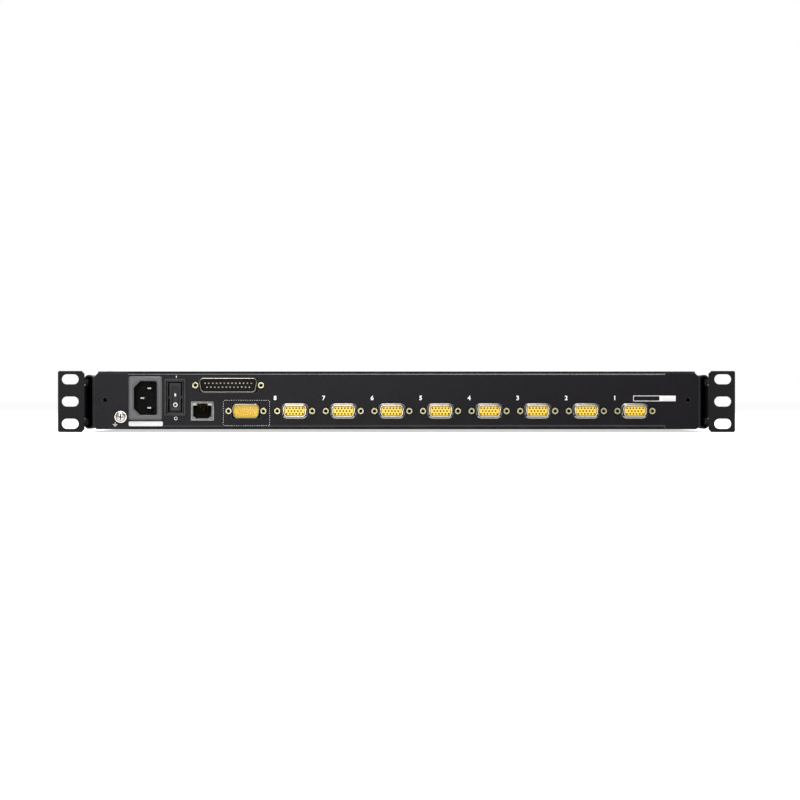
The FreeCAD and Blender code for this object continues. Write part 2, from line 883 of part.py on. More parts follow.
def make_ball_cages(word, web, tip, reach):
    """One ball cage in each slide: a thin C of sheet with a window for each ball, and the balls."""
    start = case_front + s.cage_start
    level = reach - ball_gap / 2
    ball_x = tip + s.ball_size / 2 + s.ball_inset
    edge = tip + s.cage_steel / 2
    first = start + (s.cage_length - 2 * s.balls_pitch) / 2
    half_window = s.ball_size / 2 + s.ball_play
    strips = []
    for side, hand in ((1, "right"), (-1, "left")):
        outline = [
            (side * web, slide_middle_z - level - s.cage_steel / 2),
            (side * web, slide_middle_z + level + s.cage_steel / 2),
            (side * edge, slide_middle_z + level + s.cage_steel / 2),
            (side * edge, slide_middle_z + level - s.cage_steel / 2),
            (side * (web - s.cage_steel), slide_middle_z + level - s.cage_steel / 2),
            (side * (web - s.cage_steel), slide_middle_z - level + s.cage_steel / 2),
            (side * edge, slide_middle_z - level + s.cage_steel / 2),
            (side * edge, slide_middle_z - level - s.cage_steel / 2),
        ]
        strip = pad(f"cage_{word}_{hand}", "XZ", outline, (start, start + s.cage_length))
        windows = [
            box(
                f"window_{word}_{hand}_{count}",
                (side * (ball_x - half_window), side * (ball_x + half_window)),
                (first + count * s.balls_pitch - half_window, first + count * s.balls_pitch + half_window),
                (slide_middle_z - level - s.cage_steel, slide_middle_z + level + s.cage_steel),
            )
            for count in range(3)
        ]
        strips.append(cut(f"cage_{word}_{hand}_cut", strip, *windows))
    master = ball(f"ball_{word}", (ball_x, first, slide_middle_z + level))
    steps = [
        (across, count * s.balls_pitch, drop)
        for across in (0, -2 * ball_x)
        for count in range(3)
        for drop in (0, -2 * level)
    ]
    balls = copies(f"balls_{word}", master, steps)
    node(together(f"ball_cages_{word}", *strips, balls), f"ball_cages_{word}")


def ball(name, centre):
    """A small ball with flat facets: what three eight-sided bars at right angles have in common."""
    bars = []
    half = s.ball_size / 2
    for axis, place in zip("xyz", centre):
        bar = doc.addObject("Part::Prism", f"{name}_{axis}")
        bar.Polygon = 8
        bind(bar, "Circumradius", half)
        turn_to(bar, axis, [c for c in centre if c is not place], (place - half, place + half))
        bars.append(bar)
    common = doc.addObject("Part::MultiCommon", name)
    common.Shapes = bars
    return common


def make_drawer_tray():
    """The drawer's folded tray: a floor, two side walls, and low walls front and rear."""
    wall_top = tray_bottom + s.tray_wall
    outline = [
        (tray_outside, tray_bottom),
        (tray_outside, wall_top),
        (tray_inside, wall_top),
        (tray_inside, tray_floor),
        (-tray_inside, tray_floor),
        (-tray_inside, wall_top),
        (-tray_outside, wall_top),
        (-tray_outside, tray_bottom),
    ]
    bends = (((0, 7), s.tray_bend), ((3, 4), s.tray_bend - s.tray_steel))
    folded = pad("tray_folded", "XZ", outline, (drawer_front, drawer_rear), *bends)
    ends = []
    for word, start in (("front", drawer_front), ("rear", drawer_rear - s.tray_steel)):
        ends.append(
            box(
                f"tray_{word}_wall",
                (-tray_inside, tray_inside),
                (start, start + s.tray_steel),
                (tray_floor, deck_top),
            )
        )
    node(fuse("drawer_tray", folded, *ends), "drawer_tray")


deck_gap = s.tray_bend - s.tray_steel + s.deck_play
deck_front = drawer_front + s.tray_steel + deck_gap
deck_rear = drawer_rear - s.tray_steel - deck_gap
deck_half = tray_inside - deck_gap
keys_front = deck_front + s.keyboard_front
main_width = 15 * s.key_pitch
keypad_width = 4 * s.key_pitch
keys_left = -(main_width + s.keypad_gap + keypad_width) / 2
keypad_left = keys_left + main_width + s.keypad_gap
keys_depth = 6 * s.key_pitch
pad_front_y = deck_front + s.pad_front
click_back = pad_front_y - s.click_gap
click_front = click_back - s.click_depth


def make_keyboard_deck():
    """The moulded surround: a skin with a skirt to the tray, wells for the keys and the touchpad."""
    outer = box("deck_block", (-deck_half, deck_half), (deck_front, deck_rear), (tray_floor, deck_top))
    wall = s.deck_wall
    hollow = box(
        "deck_hollow",
        (-deck_half + wall, deck_half - wall),
        (deck_front + wall, deck_rear - wall),
        (tray_floor - 1, deck_top - s.deck_skin),
    )
    shell = cut("deck_shell", outer, hollow)
    play, rim = s.well_play, s.deck_wall
    wells, rims = [], []
    for word, left, width in (("main", keys_left, main_width), ("keypad", keypad_left, keypad_width)):
        wells.append(
            box(
                f"{word}_well",
                (left - play, left + width + play),
                (keys_front - play, keys_front + keys_depth + play),
                (tray_floor - 1, deck_top + 1),
            )
        )
        rims.append(
            box(
                f"{word}_rim",
                (left - play - rim, left + width + play + rim),
                (keys_front - play - rim, keys_front + keys_depth + play + rim),
                (key_bottom, deck_top),
            )
        )
    half_pad = s.pad_width / 2 + s.pad_play
    wells.append(
        box(
            "touchpad_well",
            (-half_pad, half_pad),
            (click_front - s.pad_play, pad_front_y + s.pad_depth + s.pad_play),
            (tray_floor - 1, deck_top + 1),
        )
    )
    for side, word in ((1, "right"), (-1, "left")):
        middle = side * s.hinge_spread
        half = s.hinge_width / 2 + 2
        wells.append(
            box(
                f"hinge_well_{word}",
                (middle - half, middle + half),
                (hinge_y - s.hinge_back + 1, deck_rear + 1),
                (tray_floor - 1, deck_top + 1),
            )
        )
    node(cut("keyboard_deck", fuse("deck_with_rims", shell, *rims), *wells), "keyboard_deck")


def key_cap(name, left, front, wide, deep=1.0):
    """One key cap as a tapered block. Wide and deep are in key pitches, and the block is upright in Z."""
    cap = doc.addObject("Part::Wedge", name)
    cap.Placement.Rotation = FreeCAD.Rotation(FreeCAD.Vector(1, 0, 0), 90)
    x_low, x_high = left + s.key_gap / 2, left + wide * s.key_pitch - s.key_gap / 2
    y_low, y_high = front + s.key_gap / 2, front + deep * s.key_pitch - s.key_gap / 2
    bind(cap, "Xmin", x_low)
    bind(cap, "Xmax", x_high)
    bind(cap, "X2min", x_low + s.key_taper)
    bind(cap, "X2max", x_high - s.key_taper)
    bind(cap, "Zmin", -y_high)
    bind(cap, "Zmax", -y_low)
    bind(cap, "Z2min", -y_high + s.key_taper * 0.6)
    bind(cap, "Z2max", -y_low - s.key_taper)
    bind(cap, "Ymin", key_bottom)
    bind(cap, "Ymax", key_top)
    return cap


# Key widths of each row in key pitches, front row first; None is the space bar, which has a node of its own
KEY_ROWS = {
    "bottom_keys": [1.25, 1.25, 1.25, None, 1.25, 1.25, 1, 1, 1],
    "lower_keys": [2.25, 1, 1, 1, 1, 1, 1, 1, 1, 1, 1, 1.75, 1],
    "home_keys": [1.75, 1, 1, 1, 1, 1, 1, 1, 1, 1, 1, 1, 2.25],
    "upper_keys": [1.5, 1, 1, 1, 1, 1, 1, 1, 1, 1, 1, 1, 1, 1.5],
    "number_keys": [1, 1, 1, 1, 1, 1, 1, 1, 1, 1, 1, 1, 1, 2],
    "function_keys": [1, 1, 1, 1, 1, 1, 1, 1, 1, 1, 1, 1, 1, 1, 1],
}
SPACE_WIDTH = 5.75
# Keypad keys as column, row, width and depth in key pitches
KEYPAD = [
    (0, 0, 2, 1), (2, 0, 1, 1), (3, 0, 1, 2),
    (0, 1, 1, 1), (1, 1, 1, 1), (2, 1, 1, 1),
    (0, 2, 1, 1), (1, 2, 1, 1), (2, 2, 1, 1), (3, 2, 1, 2),
    (0, 3, 1, 1), (1, 3, 1, 1), (2, 3, 1, 1),
    (0, 4, 1, 1), (1, 4, 1, 1), (2, 4, 1, 1), (3, 4, 1, 1),
    (0, 5, 1, 1), (1, 5, 1, 1), (2, 5, 1, 1), (3, 5, 1, 1),
]


def make_keys():
    """Six rows of keys, the space bar and the keypad, each cap a solid of its own."""
    for row, (name, widths) in enumerate(KEY_ROWS.items()):
        caps = []
        place = 0.0
        for number, wide in enumerate(widths):
            left = keys_left + place * s.key_pitch
            front = keys_front + row * s.key_pitch
            if wide is None:
                node(key_cap("space_key", left, front, SPACE_WIDTH), "space_bar")
                place += SPACE_WIDTH
                continue
            caps.append(key_cap(f"{name}_{number}", left, front, wide))
            place += wide
        node(together(name, *caps), name)
    caps = []
    for number, (column, row, wide, deep) in enumerate(KEYPAD):
        left = keypad_left + column * s.key_pitch
        caps.append(key_cap(f"keypad_{number}", left, keys_front + row * s.key_pitch, wide, deep))
    node(together("keypad_keys", *caps), "keypad_keys")


def make_keyboard_plate():
    """The keyboard's base on the tray's floor, under both blocks of keys."""
    rim = s.plate_rim
    node(
        box(
            "keyboard_plate",
            (keys_left - rim, keypad_left + keypad_width + rim),
            (keys_front - rim, keys_front + keys_depth + rim),
            (tray_floor, key_bottom - s.key_travel - s.key_stop),
        ),
        "keyboard_plate",
    )


def make_touchpad():
    """The touchpad on its pedestal, and its two click buttons with stems that run clear of the tray."""
    half = s.pad_width / 2
    surface = box(
        "touchpad_surface",
        (-half, half),
        (pad_front_y, pad_front_y + s.pad_depth),
        (deck_top - s.deck_skin, deck_top - s.pad_sink),
    )
    pedestal = box(
        "touchpad_pedestal",
        (s.pedestal_side - half, half - s.pedestal_side),
        (pad_front_y + s.pedestal_end, pad_front_y + s.pad_depth - s.pedestal_end),
        (tray_floor, deck_top - s.deck_skin),
    )
    node(fuse("touchpad", surface, pedestal), "touchpad")
    for side, word in ((1, "right"), (-1, "left")):
        inner, outer = side * s.pad_play, side * half
        block = box(
            f"click_{word}",
            (inner, outer),
            (click_front, click_back),
            (deck_top - s.deck_skin - 1, deck_top + s.click_rise),
        )
        name = f"touchpad_button_{word}"
        node(eased(name, block, "z", s.soft_corner), name)


handle_back = drawer_front
handle_top = lid_bottom - s.lid_play
handle_bottom = tray_floor


def make_front_handle():
    """The pull across the drawer's front: a hooked lip with a column at each end for the slide catches."""
    back, front, skin = handle_back, handle_front, s.handle_skin
    nose_low = handle_bottom + s.handle_rise
    outline = [
        (back, handle_bottom),
        (back, handle_top),
        (front + s.handle_nose, handle_top),
        (front, handle_top - s.handle_slope),
        (front, nose_low),
        (front + skin, nose_low),
        (front + skin, handle_top - skin - s.handle_inside),
        (front + s.handle_nose, handle_top - skin),
        (back - skin, handle_top - skin),
        (back - skin, handle_bottom),
    ]
    bar = pad("handle_bar", "YZ", outline, (-tray_outside, tray_outside), ((2, 3), s.handle_round))
    column_front = back - s.column_reach
    column_outside = half_case - s.column_gap
    columns, pockets = [], []
    for side, word in ((1, "right"), (-1, "left")):
        column = box(
            f"handle_column_{word}",
            (side * tray_inside, side * column_outside),
            (column_front, back),
            (handle_bottom, lid_top - s.lid_play),
        )
        columns.append(column)
        middle = side * (tray_outside + column_outside) / 2
        catch_z = (handle_bottom + lid_top) / 2
        half_wide, half_tall = s.catch_width / 2, s.catch_height / 2
        play = s.pad_play
        pockets.append(
            box(
                f"catch_pocket_{word}",
                (middle - half_wide - play, middle + half_wide + play),
                (column_front - 1, column_front + s.catch_depth - s.catch_reach + s.catch_travel + 1),
                (catch_z - half_tall - play, catch_z + half_tall + play),
            )
        )
        block = box(
            f"catch_block_{word}",
            (middle - half_wide, middle + half_wide),
            (column_front - s.catch_reach, column_front - s.catch_reach + s.catch_depth),
            (catch_z - half_tall, catch_z + half_tall),
        )
        node(eased(f"catch_{word}", block, "y", s.soft_corner), f"catch_{word}")
    node(cut("front_handle", fuse("handle_whole", bar, *columns), *pockets), "front_handle")


def make_hinges():
    """The steel hinge brackets on the tray's floor, and the pins fixed in the lid's barrel."""
    brackets, pins = [], []
    for side, word in ((1, "right"), (-1, "left")):
        middle = side * s.hinge_spread
        half = s.hinge_width / 2
        span = (middle - half, middle + half)
        eye = rod(f"hinge_eye_{word}", "x", (hinge_y, hinge_z), s.hinge_eye, span)
        web = box(
            f"hinge_web_{word}",
            span,
            (hinge_y - s.hinge_web / 2, hinge_y + s.hinge_web / 2),
            (tray_floor, hinge_z),
        )
        foot = box(
            f"hinge_foot_{word}",
            span,
            (hinge_y - s.hinge_back + 2, deck_rear - 1),
            (tray_floor, tray_floor + s.hinge_foot),
        )
        bore = rod(
            f"hinge_bore_{word}",
            "x",
            (hinge_y, hinge_z),
            s.hinge_pin + 2 * s.hinge_play,
            (middle - half - 1, middle + half + 1),
        )
        brackets.append(cut(f"hinge_bracket_{word}", fuse(f"hinge_body_{word}", eye, web, foot), bore))
        reach = half + s.hinge_side_play + s.hinge_bite
        pins.append(
            rod(
                f"hinge_pin_{word}",
                "x",
                (hinge_y, hinge_z),
                s.hinge_pin,
                (middle - reach, middle + reach),
            )
        )
    node(together("hinge_brackets", *brackets), "hinge_brackets")
    node(together("hinge_pins", *pins), "hinge_pins")


screen_front = lid_front + s.screen_top
screen_rear = barrel_front - s.screen_foot
button_y = (screen_rear + barrel_front) / 2


def lid_block(name, half, span, run, radius):
    """A slab across the lid with its two long upper edges rounded."""
    outline = [(-half, span[0]), (half, span[0]), (half, span[1]), (-half, span[1])]
    return pad(name, "XZ", outline, run, ((2, 3), radius))


def make_lid():
    """The lid: a cover with a solid hinge barrel, the screen's bezel, the screen, and the front grip."""
    half = lid_half
    skin = s.lid_skin
    block = lid_block("lid_block", half, (bezel_top, lid_top), (lid_front, barrel_front), s.lid_round)
    hollow = box(
        "lid_hollow",
        (-half + skin, half - skin),
        (lid_front + skin, barrel_front),
        (bezel_top - 1, lid_top - skin),
    )
    barrel = lid_block("lid_barrel", half, (lid_bottom, lid_top), (barrel_front, hinge_y), s.lid_round)
    round_end = rod("lid_round", "x", (hinge_y, hinge_z), s.lid_thick, (-half, half))
    tools = []
    for side, word in ((1, "right"), (-1, "left")):
        middle = side * s.hinge_spread
        notch = s.hinge_width / 2 + s.hinge_side_play
        tools.append(
            box(
                f"hinge_notch_{word}",
                (middle - notch, middle + notch),
                (hinge_y - s.hinge_notch, hinge_y + s.lid_thick),
                (lid_bottom - 1, lid_top + 1),
            )
        )
        reach = notch + s.hinge_bite
        tools.append(
            rod(
                f"pin_hole_{word}",
                "x",
                (hinge_y, hinge_z),
                s.hinge_pin,
                (middle - reach, middle + reach),
            )
        )
    shell = cut("lid_shell", block, hollow)
    node(cut("lid_cover", fuse("lid_body", shell, barrel, round_end), *tools), "lid_cover")

    bezel = box("bezel_block", (-half, half), (lid_front, barrel_front), (lid_bottom, bezel_top))
    half_screen = half - s.screen_side
    window = box(
        "screen_window",
        (-half_screen, half_screen),
        (screen_front, screen_rear),
        (lid_bottom - 1, bezel_top + 1),
    )
    holes = []
    for number in range(4):
        middle = button_place(number)
        wide, deep = s.button_width / 2 + s.pad_play, s.button_depth / 2 + s.pad_play
        holes.append(
            box(
                f"button_hole_{number}",
                (middle - wide, middle + wide),
                (button_y - deep, button_y + deep),
                (lid_bottom - 1, bezel_top + 1),
            )
        )
        block = box(
            f"button_block_{number}",
            (middle - s.button_width / 2, middle + s.button_width / 2),
            (button_y - s.button_depth / 2, button_y + s.button_depth / 2),
            (lid_bottom - s.button_rise, lid_bottom - s.button_rise + s.button_tall),
        )
        name = f"screen_button_{number + 1}"
        node(eased(name, block, "z", s.soft_corner), name)
    node(cut("lid_bezel", bezel, window, *holes), "lid_bezel")

    rim = s.panel_rim
    node(
        box(
            "lcd_panel",
            (-half_screen - rim, half_screen + rim),
            (screen_front - rim, screen_rear + rim),
            (bezel_top, bezel_top + s.panel_thick),
        ),
        "lcd_panel",
    )
    make_lid_grip(half)


def button_place(number):
    """The middle of one of the screen's buttons, from the lid's left."""
    return (number - 1.5) * s.button_pitch


def make_lid_grip(half):
    """The moulded rail along the lid's front edge, and the latch button in its middle."""
    low, high = lid_bottom + s.grip_step, lid_top - s.grip_step
    front = lid_front - s.grip_reach
    nose, slope = s.grip_nose, s.grip_slope
    outline = [
        (lid_front, low),
        (lid_front, high),
        (front + nose, high),
        (front, high - slope),
        (front, low + slope),
        (front + nose, low),
    ]
    rail = pad("grip_rail", "YZ", outline, (-half, half), ((2, 3, 4, 5), s.handle_round))
    middle = (low + high) / 2
    wide, tall, play = s.latch_width / 2, s.latch_height / 2, s.pad_play
    pocket = box(
        "latch_pocket",
        (-wide - play, wide + play),
        (front - 1, front + s.latch_depth - s.latch_reach + s.latch_travel + 1),
        (middle - tall - play, middle + tall + play),
    )
    node(cut("lid_grip", rail, pocket), "lid_grip")
    block = box(
        "latch_block",
        (-wide, wide),
        (front - s.latch_reach, front - s.latch_reach + s.latch_depth),
        (middle - tall, middle + tall),
    )
    node(eased("lid_latch", block, "y", s.soft_corner), "lid_latch")


def make_power_inlet():
    """The mains inlet: a bezel on the panel, a hollow body behind it, and three blades."""
    x, z = s.inlet_place, case_bottom + s.inlet_rise
    bezel = eased(
        "inlet_bezel",
        mouth("inlet_bezel_block", x, z, s.inlet_wide, s.inlet_tall, (rear_plane, rear_plane + s.inlet_rim)),
        "y",
        s.soft_corner,
    )
    back = rear_plane + s.inlet_rim - s.inlet_mouth_deep - s.inlet_rim
    body = mouth("inlet_body_block", x, z, s.inlet_body, s.inlet_tall - s.inlet_lap, (back, rear_plane))
    wide, tall, corner = s.inlet_mouth_wide / 2, s.inlet_mouth_tall / 2, s.inlet_mouth_cut
    outline = [
        (x + wide, z - tall + corner),
        (x + wide, z + tall - corner),
        (x + wide - corner, z + tall),
        (x - wide, z + tall),
        (x - wide, z - tall),
        (x + wide - corner, z - tall),
    ]
    span = (back + s.inlet_rim, rear_plane + s.inlet_rim + 1)
    cavity = pad("inlet_cavity", "XZ", outline, span, ((3, 4), s.soft_corner))
    node(cut("power_inlet", fuse("inlet_solid", bezel, body), cavity), "power_inlet")
    blades = []
    for number, (across, up) in enumerate(
        ((-s.blade_offset, s.blade_spread), (-s.blade_offset, -s.blade_spread), (s.earth_offset, 0))
    ):
        reach = (back + s.inlet_rim, rear_plane + s.inlet_rim - s.blade_short)
        blades.append(mouth(f"blade_{number}", x + across, z + up, s.blade_wide, s.blade_thick, reach))
    node(together("inlet_blades", *blades), "inlet_blades")


def make_power_switch():
    """The switch's frame and box, and the rocker on its axle, tipped to its off side."""
    x, z = s.switch_place, case_bottom + s.switch_rise
    face = rear_plane + s.switch_rim
    rim = eased(
        "switch_rim",
        mouth("switch_rim_block", x, z, s.switch_wide, s.switch_tall, (rear_plane, face)),
        "y",
        s.soft_corner,
    )
    back = rear_plane - s.switch_deep
    body = mouth("switch_box", x, z, s.switch_wide - 2, s.switch_tall - 2, (back, rear_plane))
    border = 2 * s.switch_border
    well = mouth(
        "switch_well", x, z, s.switch_wide - border, s.switch_tall - border, (back + 1.2, face + 1)
    )
    pivot_y = face - s.rocker_sink - s.rocker_thick / 2
    reach = s.switch_wide / 2 - s.switch_border + s.axle_bite
    socket = rod(
        "axle_socket",
        "x",
        (pivot_y, z),
        s.rocker_axle + 2 * s.axle_play,
        (x - reach - s.axle_play, x + reach + s.axle_play),
    )
    node(cut("switch_frame", fuse("switch_solid", rim, body), well, socket), "switch_frame")
    half, thick = s.rocker_tall / 2, s.rocker_thick
    outline = [
        (pivot_y - thick / 2, z - half + 1.5),
        (pivot_y + thick / 2, z - half),
        (pivot_y + thick / 2 - 0.9, z),
        (pivot_y + thick / 2, z + half),
        (pivot_y - thick / 2, z + half - 1.5),
        (pivot_y - thick, z),
    ]
    across = (x - s.rocker_wide / 2, x + s.rocker_wide / 2)
    axle = rod("rocker_axle", "x", (pivot_y, z), s.rocker_axle, (x - reach, x + reach))
    rocker = fuse("rocker_level", pad("rocker_paddle", "YZ", outline, across), axle)
    doc.recompute()
    tipped = rocker.Shape.copy()
    tipped.rotate(
        FreeCAD.Vector(x.number, pivot_y.number, z.number),
        FreeCAD.Vector(1, 0, 0),
        s.rocker_tilt.number,
    )
    paddle = doc.addObject("Part::Feature", "power_rocker")
    paddle.Shape = tipped
    node(paddle, "power_rocker")


def d_block(name, x, z, wide, tall, span, corner):
    """A block with a D connector's outline: wider above, its sides leaning in by ten degrees."""
    slope = math.tan(math.radians(10))
    lean = tall / 2 * slope
    top, bottom = wide / 2 + lean, wide / 2 - lean
    slant = corner * slope
    right = [
        (bottom - corner, -tall / 2),
        (bottom + slant, -tall / 2 + corner),
        (top - slant, tall / 2 - corner),
        (top - corner, tall / 2),
    ]
    outline = [(x + across, z + up) for across, up in right]
    outline += [(x - across, z + up) for across, up in right[::-1]]
    return pad(name, "XZ", outline, span)


def port_shell(name, x, z, wide, tall, flare):
    """A D connector's drawn steel shell: a flange behind the panel, a flared root and an open tube."""
    flange = mouth(
        f"{name}_flange",
        x,
        z,
        wide + s.flange_over,
        tall + s.flange_rise,
        (panel_back - s.flange_steel, panel_back),
    )
    root = d_block(
        f"{name}_root",
        x,
        z,
        wide + 2 * flare,
        tall + 2 * flare,
        (rear_plane, rear_plane + s.root_reach),
        s.port_corner + flare / 2,
    )
    tube = d_block(
        f"{name}_tube", x, z, wide, tall, (panel_back, rear_plane + s.shell_reach), s.port_corner
    )
    steel = s.shell_steel
    bore = d_block(
        f"{name}_bore",
        x,
        z,
        wide - 2 * steel,
        tall - 2 * steel,
        (panel_back - s.flange_steel - 1, rear_plane + s.shell_reach + 1),
        s.port_corner - steel / 2,
    )
    return cut(f"{name}_whole", fuse(f"{name}_solid", flange, root, tube), bore)


def insert_block(name, x, z, wide, tall, face):
    """The moulded insert that fills a D connector's shell up to the given face."""
    steel = s.shell_steel
    return d_block(
        name,
        x,
        z,
        wide - 2 * steel,
        tall - 2 * steel,
        (panel_back - s.flange_steel - 2, face),
        s.port_corner - steel / 2,
    )


def pin_places(counts, pitch, rows):
    """Where a connector's pins stand, from its middle, row by row from the top."""
    places = []
    for row, count in enumerate(counts):
        up = rows * ((len(counts) - 1) / 2 - row)
        for number in range(count):
            places.append((pitch * (number - (count - 1) / 2), up))
    return places


def make_ports():
    """The chain port, the console port and the row of eight computer ports, with their jackscrews."""
    shallow = rear_plane + s.flange_steel
    deep = rear_plane + s.shell_reach - s.insert_sink
    chain = (s.chain_place, chain_row, s.chain_wide, s.chain_tall)
    console = (s.console_place, low_row, s.console_wide, s.console_tall)
    first = (s.port_place, low_row, s.port_wide, s.port_tall)
    shells = [
        port_shell("chain_port", *chain, s.male_flare),
        port_shell("console_port", *console, s.male_flare),
    ]
    node(together("male_port_shells", *shells), "male_port_shells")
    node(insert_block("chain_port_insert", *chain, shallow), "chain_port_insert")
    node(insert_block("console_port_insert", *console, shallow), "console_port_insert")

    pins = []
    chain_pins = pin_places((13, 12), s.chain_pin_pitch, s.chain_pin_rows)
    console_pins = pin_places((6, 5, 6), s.hole_pitch, s.hole_rows)
    for port, places in ((chain, chain_pins), (console, console_pins)):
        for across, up in places:
            reach = (shallow, rear_plane + s.pin_reach)
            middle = (port[0] + across, port[1] + up)
            pins.append(mouth(f"pin_{len(pins)}", *middle, s.pin_size, s.pin_size, reach))
    node(together("port_pins", *pins), "port_pins")

    steps = [(-number * s.port_pitch, 0, 0) for number in range(8)]
    shell = port_shell("computer_port", *first, s.root_flare)
    node(copies("computer_port_shells", shell, steps), "computer_port_shells")
    insert = insert_block("computer_insert", *first, deep)
    holes = [
        mouth(
            f"socket_{number}",
            first[0] + across,
            first[1] + up,
            s.pin_size,
            s.pin_size,
            (deep - s.socket_deep, deep + 1),
        )
        for number, (across, up) in enumerate(console_pins)
    ]
    insert = cut("computer_insert_whole", insert, *holes)
    node(copies("computer_port_inserts", insert, steps), "computer_port_inserts")

    jacks = []
    for port, spread in ((chain, s.chain_screws), (console, s.port_screws), (first, s.port_screws)):
        for side in (-1, 1):
            jacks.append(jackscrew(f"jackscrew_{len(jacks)}", (port[0] + side * spread / 2, port[1])))
    rest = copies("computer_jackscrews", together("first_jackscrews", *jacks[-2:]), steps[1:])
    node(together("jackscrews", *jacks, rest), "jackscrews")


def jackscrew(name, place):
    """A hexagonal jackscrew with its bore."""
    bar = hexagon(f"{name}_bar", "y", place, s.jack_across, (rear_plane, rear_plane + s.jack_reach))
    bore = rod(
        f"{name}_bore",
        "y",
        place,
        s.jack_bore,
        (rear_plane + s.jack_web, rear_plane + s.jack_reach + 1),
    )
    return cut(name, bar, bore)


def make_lan_jack():
    """The network jack: a moulded body with a keyed mouth, in a folded shield."""
    x, z = s.lan_place, low_row
    face = rear_plane + s.lan_rim
    back = face - s.lan_deep
    sheet_thick = s.lan_sheet
    outer = mouth("lan_block", x, z, s.lan_wide, s.lan_tall, (back, face))
    hollow = mouth(
        "lan_hollow",
        x,
        z,
        s.lan_wide - 2 * sheet_thick,
        s.lan_tall - 2 * sheet_thick,
        (back - 1, face - sheet_thick),
    )
    bottom = z - s.lan_tall / 2 + s.lan_mouth_rise
    half = s.lan_mouth_wide / 2
    top = bottom + s.lan_mouth_tall
    key = s.lan_key_wide / 2
    window = box(
        "lan_window",
        (x - half, x + half),
        (back, face + 1),
        (bottom, top + s.lan_key_tall),
    )
    node(cut("lan_shield", outer, hollow, window), "lan_shield")
    moulding = mouth(
        "lan_moulding",
        x,
        z,
        s.lan_wide - 2 * sheet_thick,
        s.lan_tall - 2 * sheet_thick,
        (back, face - sheet_thick),
    )
    floor = face - s.lan_mouth_deep
    cavity = box("lan_cavity", (x - half, x + half), (floor, face + 1), (bottom, top))
    keyway = box("lan_keyway", (x - key, x + key), (floor, face + 1), (top, top + s.lan_key_tall))
    node(cut("lan_insert", moulding, fuse("lan_mouth", cavity, keyway)), "lan_insert")


def make_ground_screw():
    """The earth terminal: a slotted pan-head screw and its washer, through the cheek."""
    place = (s.ground_place, case_bottom + s.ground_rise)
    washer_face = rear_plane + s.washer_thick
    face = washer_face + s.ground_head_thick
    washer = rod("ground_washer", "y", place, s.ground_washer, (rear_plane, washer_face))
    head = rod("ground_head", "y", place, s.ground_head, (washer_face, face))
    shank = rod("ground_shank", "y", place, s.ground_thread, (panel_back - s.ground_tail, rear_plane))
    slots = [
        mouth("ground_slot", *place, s.ground_head * 0.62, 1.0, (face - 1.2, face + 1)),
        mouth("ground_cross", *place, 1.0, s.ground_head * 0.62, (face - 1.2, face + 1)),
    ]
    node(cut("ground_screw", fuse("ground_solid", washer, head, shank), *slots), "ground_screw")


def make_electronics():
    """The switch board on its posts, and the power supply beside it."""
    left = s.board_side_gap - wall_inside
    board_right = left + s.board_width
    rear = panel_back - s.board_back_gap
    front = rear - s.board_depth
    low = floor_top + s.board_rise
    board = box("board_sheet", (left, board_right), (front, rear), (low, low + s.board_thick))
    pieces = [board]
    for number, (along_x, along_y) in enumerate(((0, 0), (1, 0), (0, 1), (1, 1))):
        x = left + s.post_inset + along_x * (s.board_width - 2 * s.post_inset)
        y = front + s.post_inset + along_y * (s.board_depth - 2 * s.post_inset)
        pieces.append(hexagon(f"board_post_{number}", "z", (x, y), s.post_across, (floor_top, low)))
    for number in range(3):
        along = left + s.chip_start + number * s.chip_step
        chip_front = front + s.chip_start
        pieces.append(
            box(
                f"board_chip_{number}",
                (along, along + s.chip_width),
                (chip_front, chip_front + s.chip_width),
                (low + s.board_thick, low + s.board_thick + s.chip_height),
            )
        )
    node(together("main_board", *pieces), "main_board")
    supply_right = wall_inside - s.supply_shift
    supply_rear = rear_plane - s.inlet_mouth_deep - s.supply_gap
    supply = box(
        "supply_block",
        (supply_right - s.supply_width, supply_right),
        (supply_rear - s.supply_depth, supply_rear),
        (floor_top, floor_top + s.supply_height),
    )
    node(eased("power_supply", supply, "y", s.soft_corner), "power_supply")


def check_and_write():
    """Stops on any failed object or shape, then writes each sub-part's file."""
    doc.recompute()
    failed = [thing.Name for thing in doc.Objects if {"Invalid", "Error"} & set(thing.State)]
    if failed:
        raise SystemExit(f"these objects failed: {failed}")
    os.makedirs("parts", exist_ok=True)
    for thing in nodes:
        shape = thing.Shape
        if shape.isNull() or not shape.isValid() or not shape.Solids:
            raise SystemExit(f"{thing.Label} has no valid shape")
        shape.exportStep(f"parts/{thing.Label}.step")
        print(f"{thing.Label}: {len(shape.Solids)} solids, {shape.Volume / 1000:.2f} cm3")
    print(len(nodes), "sub-parts")


make_case_pan()
make_case_cover()
make_rear_panel()
make_bulkhead()
make_front_ears()
make_side_channels()
make_rear_bracket(1, "right")
make_rear_bracket(-1, "left")
make_slides()
make_drawer_tray()
make_keyboard_deck()
make_keys()
make_keyboard_plate()
make_touchpad()
make_front_handle()
make_hinges()
make_lid()
make_power_inlet()
make_power_switch()
make_ports()
make_lan_jack()
make_ground_screw()
make_electronics()
check_and_write()
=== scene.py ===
"""Dresses the rack screen and keyboard drawer: its finishes, its fine parts, the light and the camera."""

import math

import bmesh
import bpy
from mathutils import Matrix, Vector


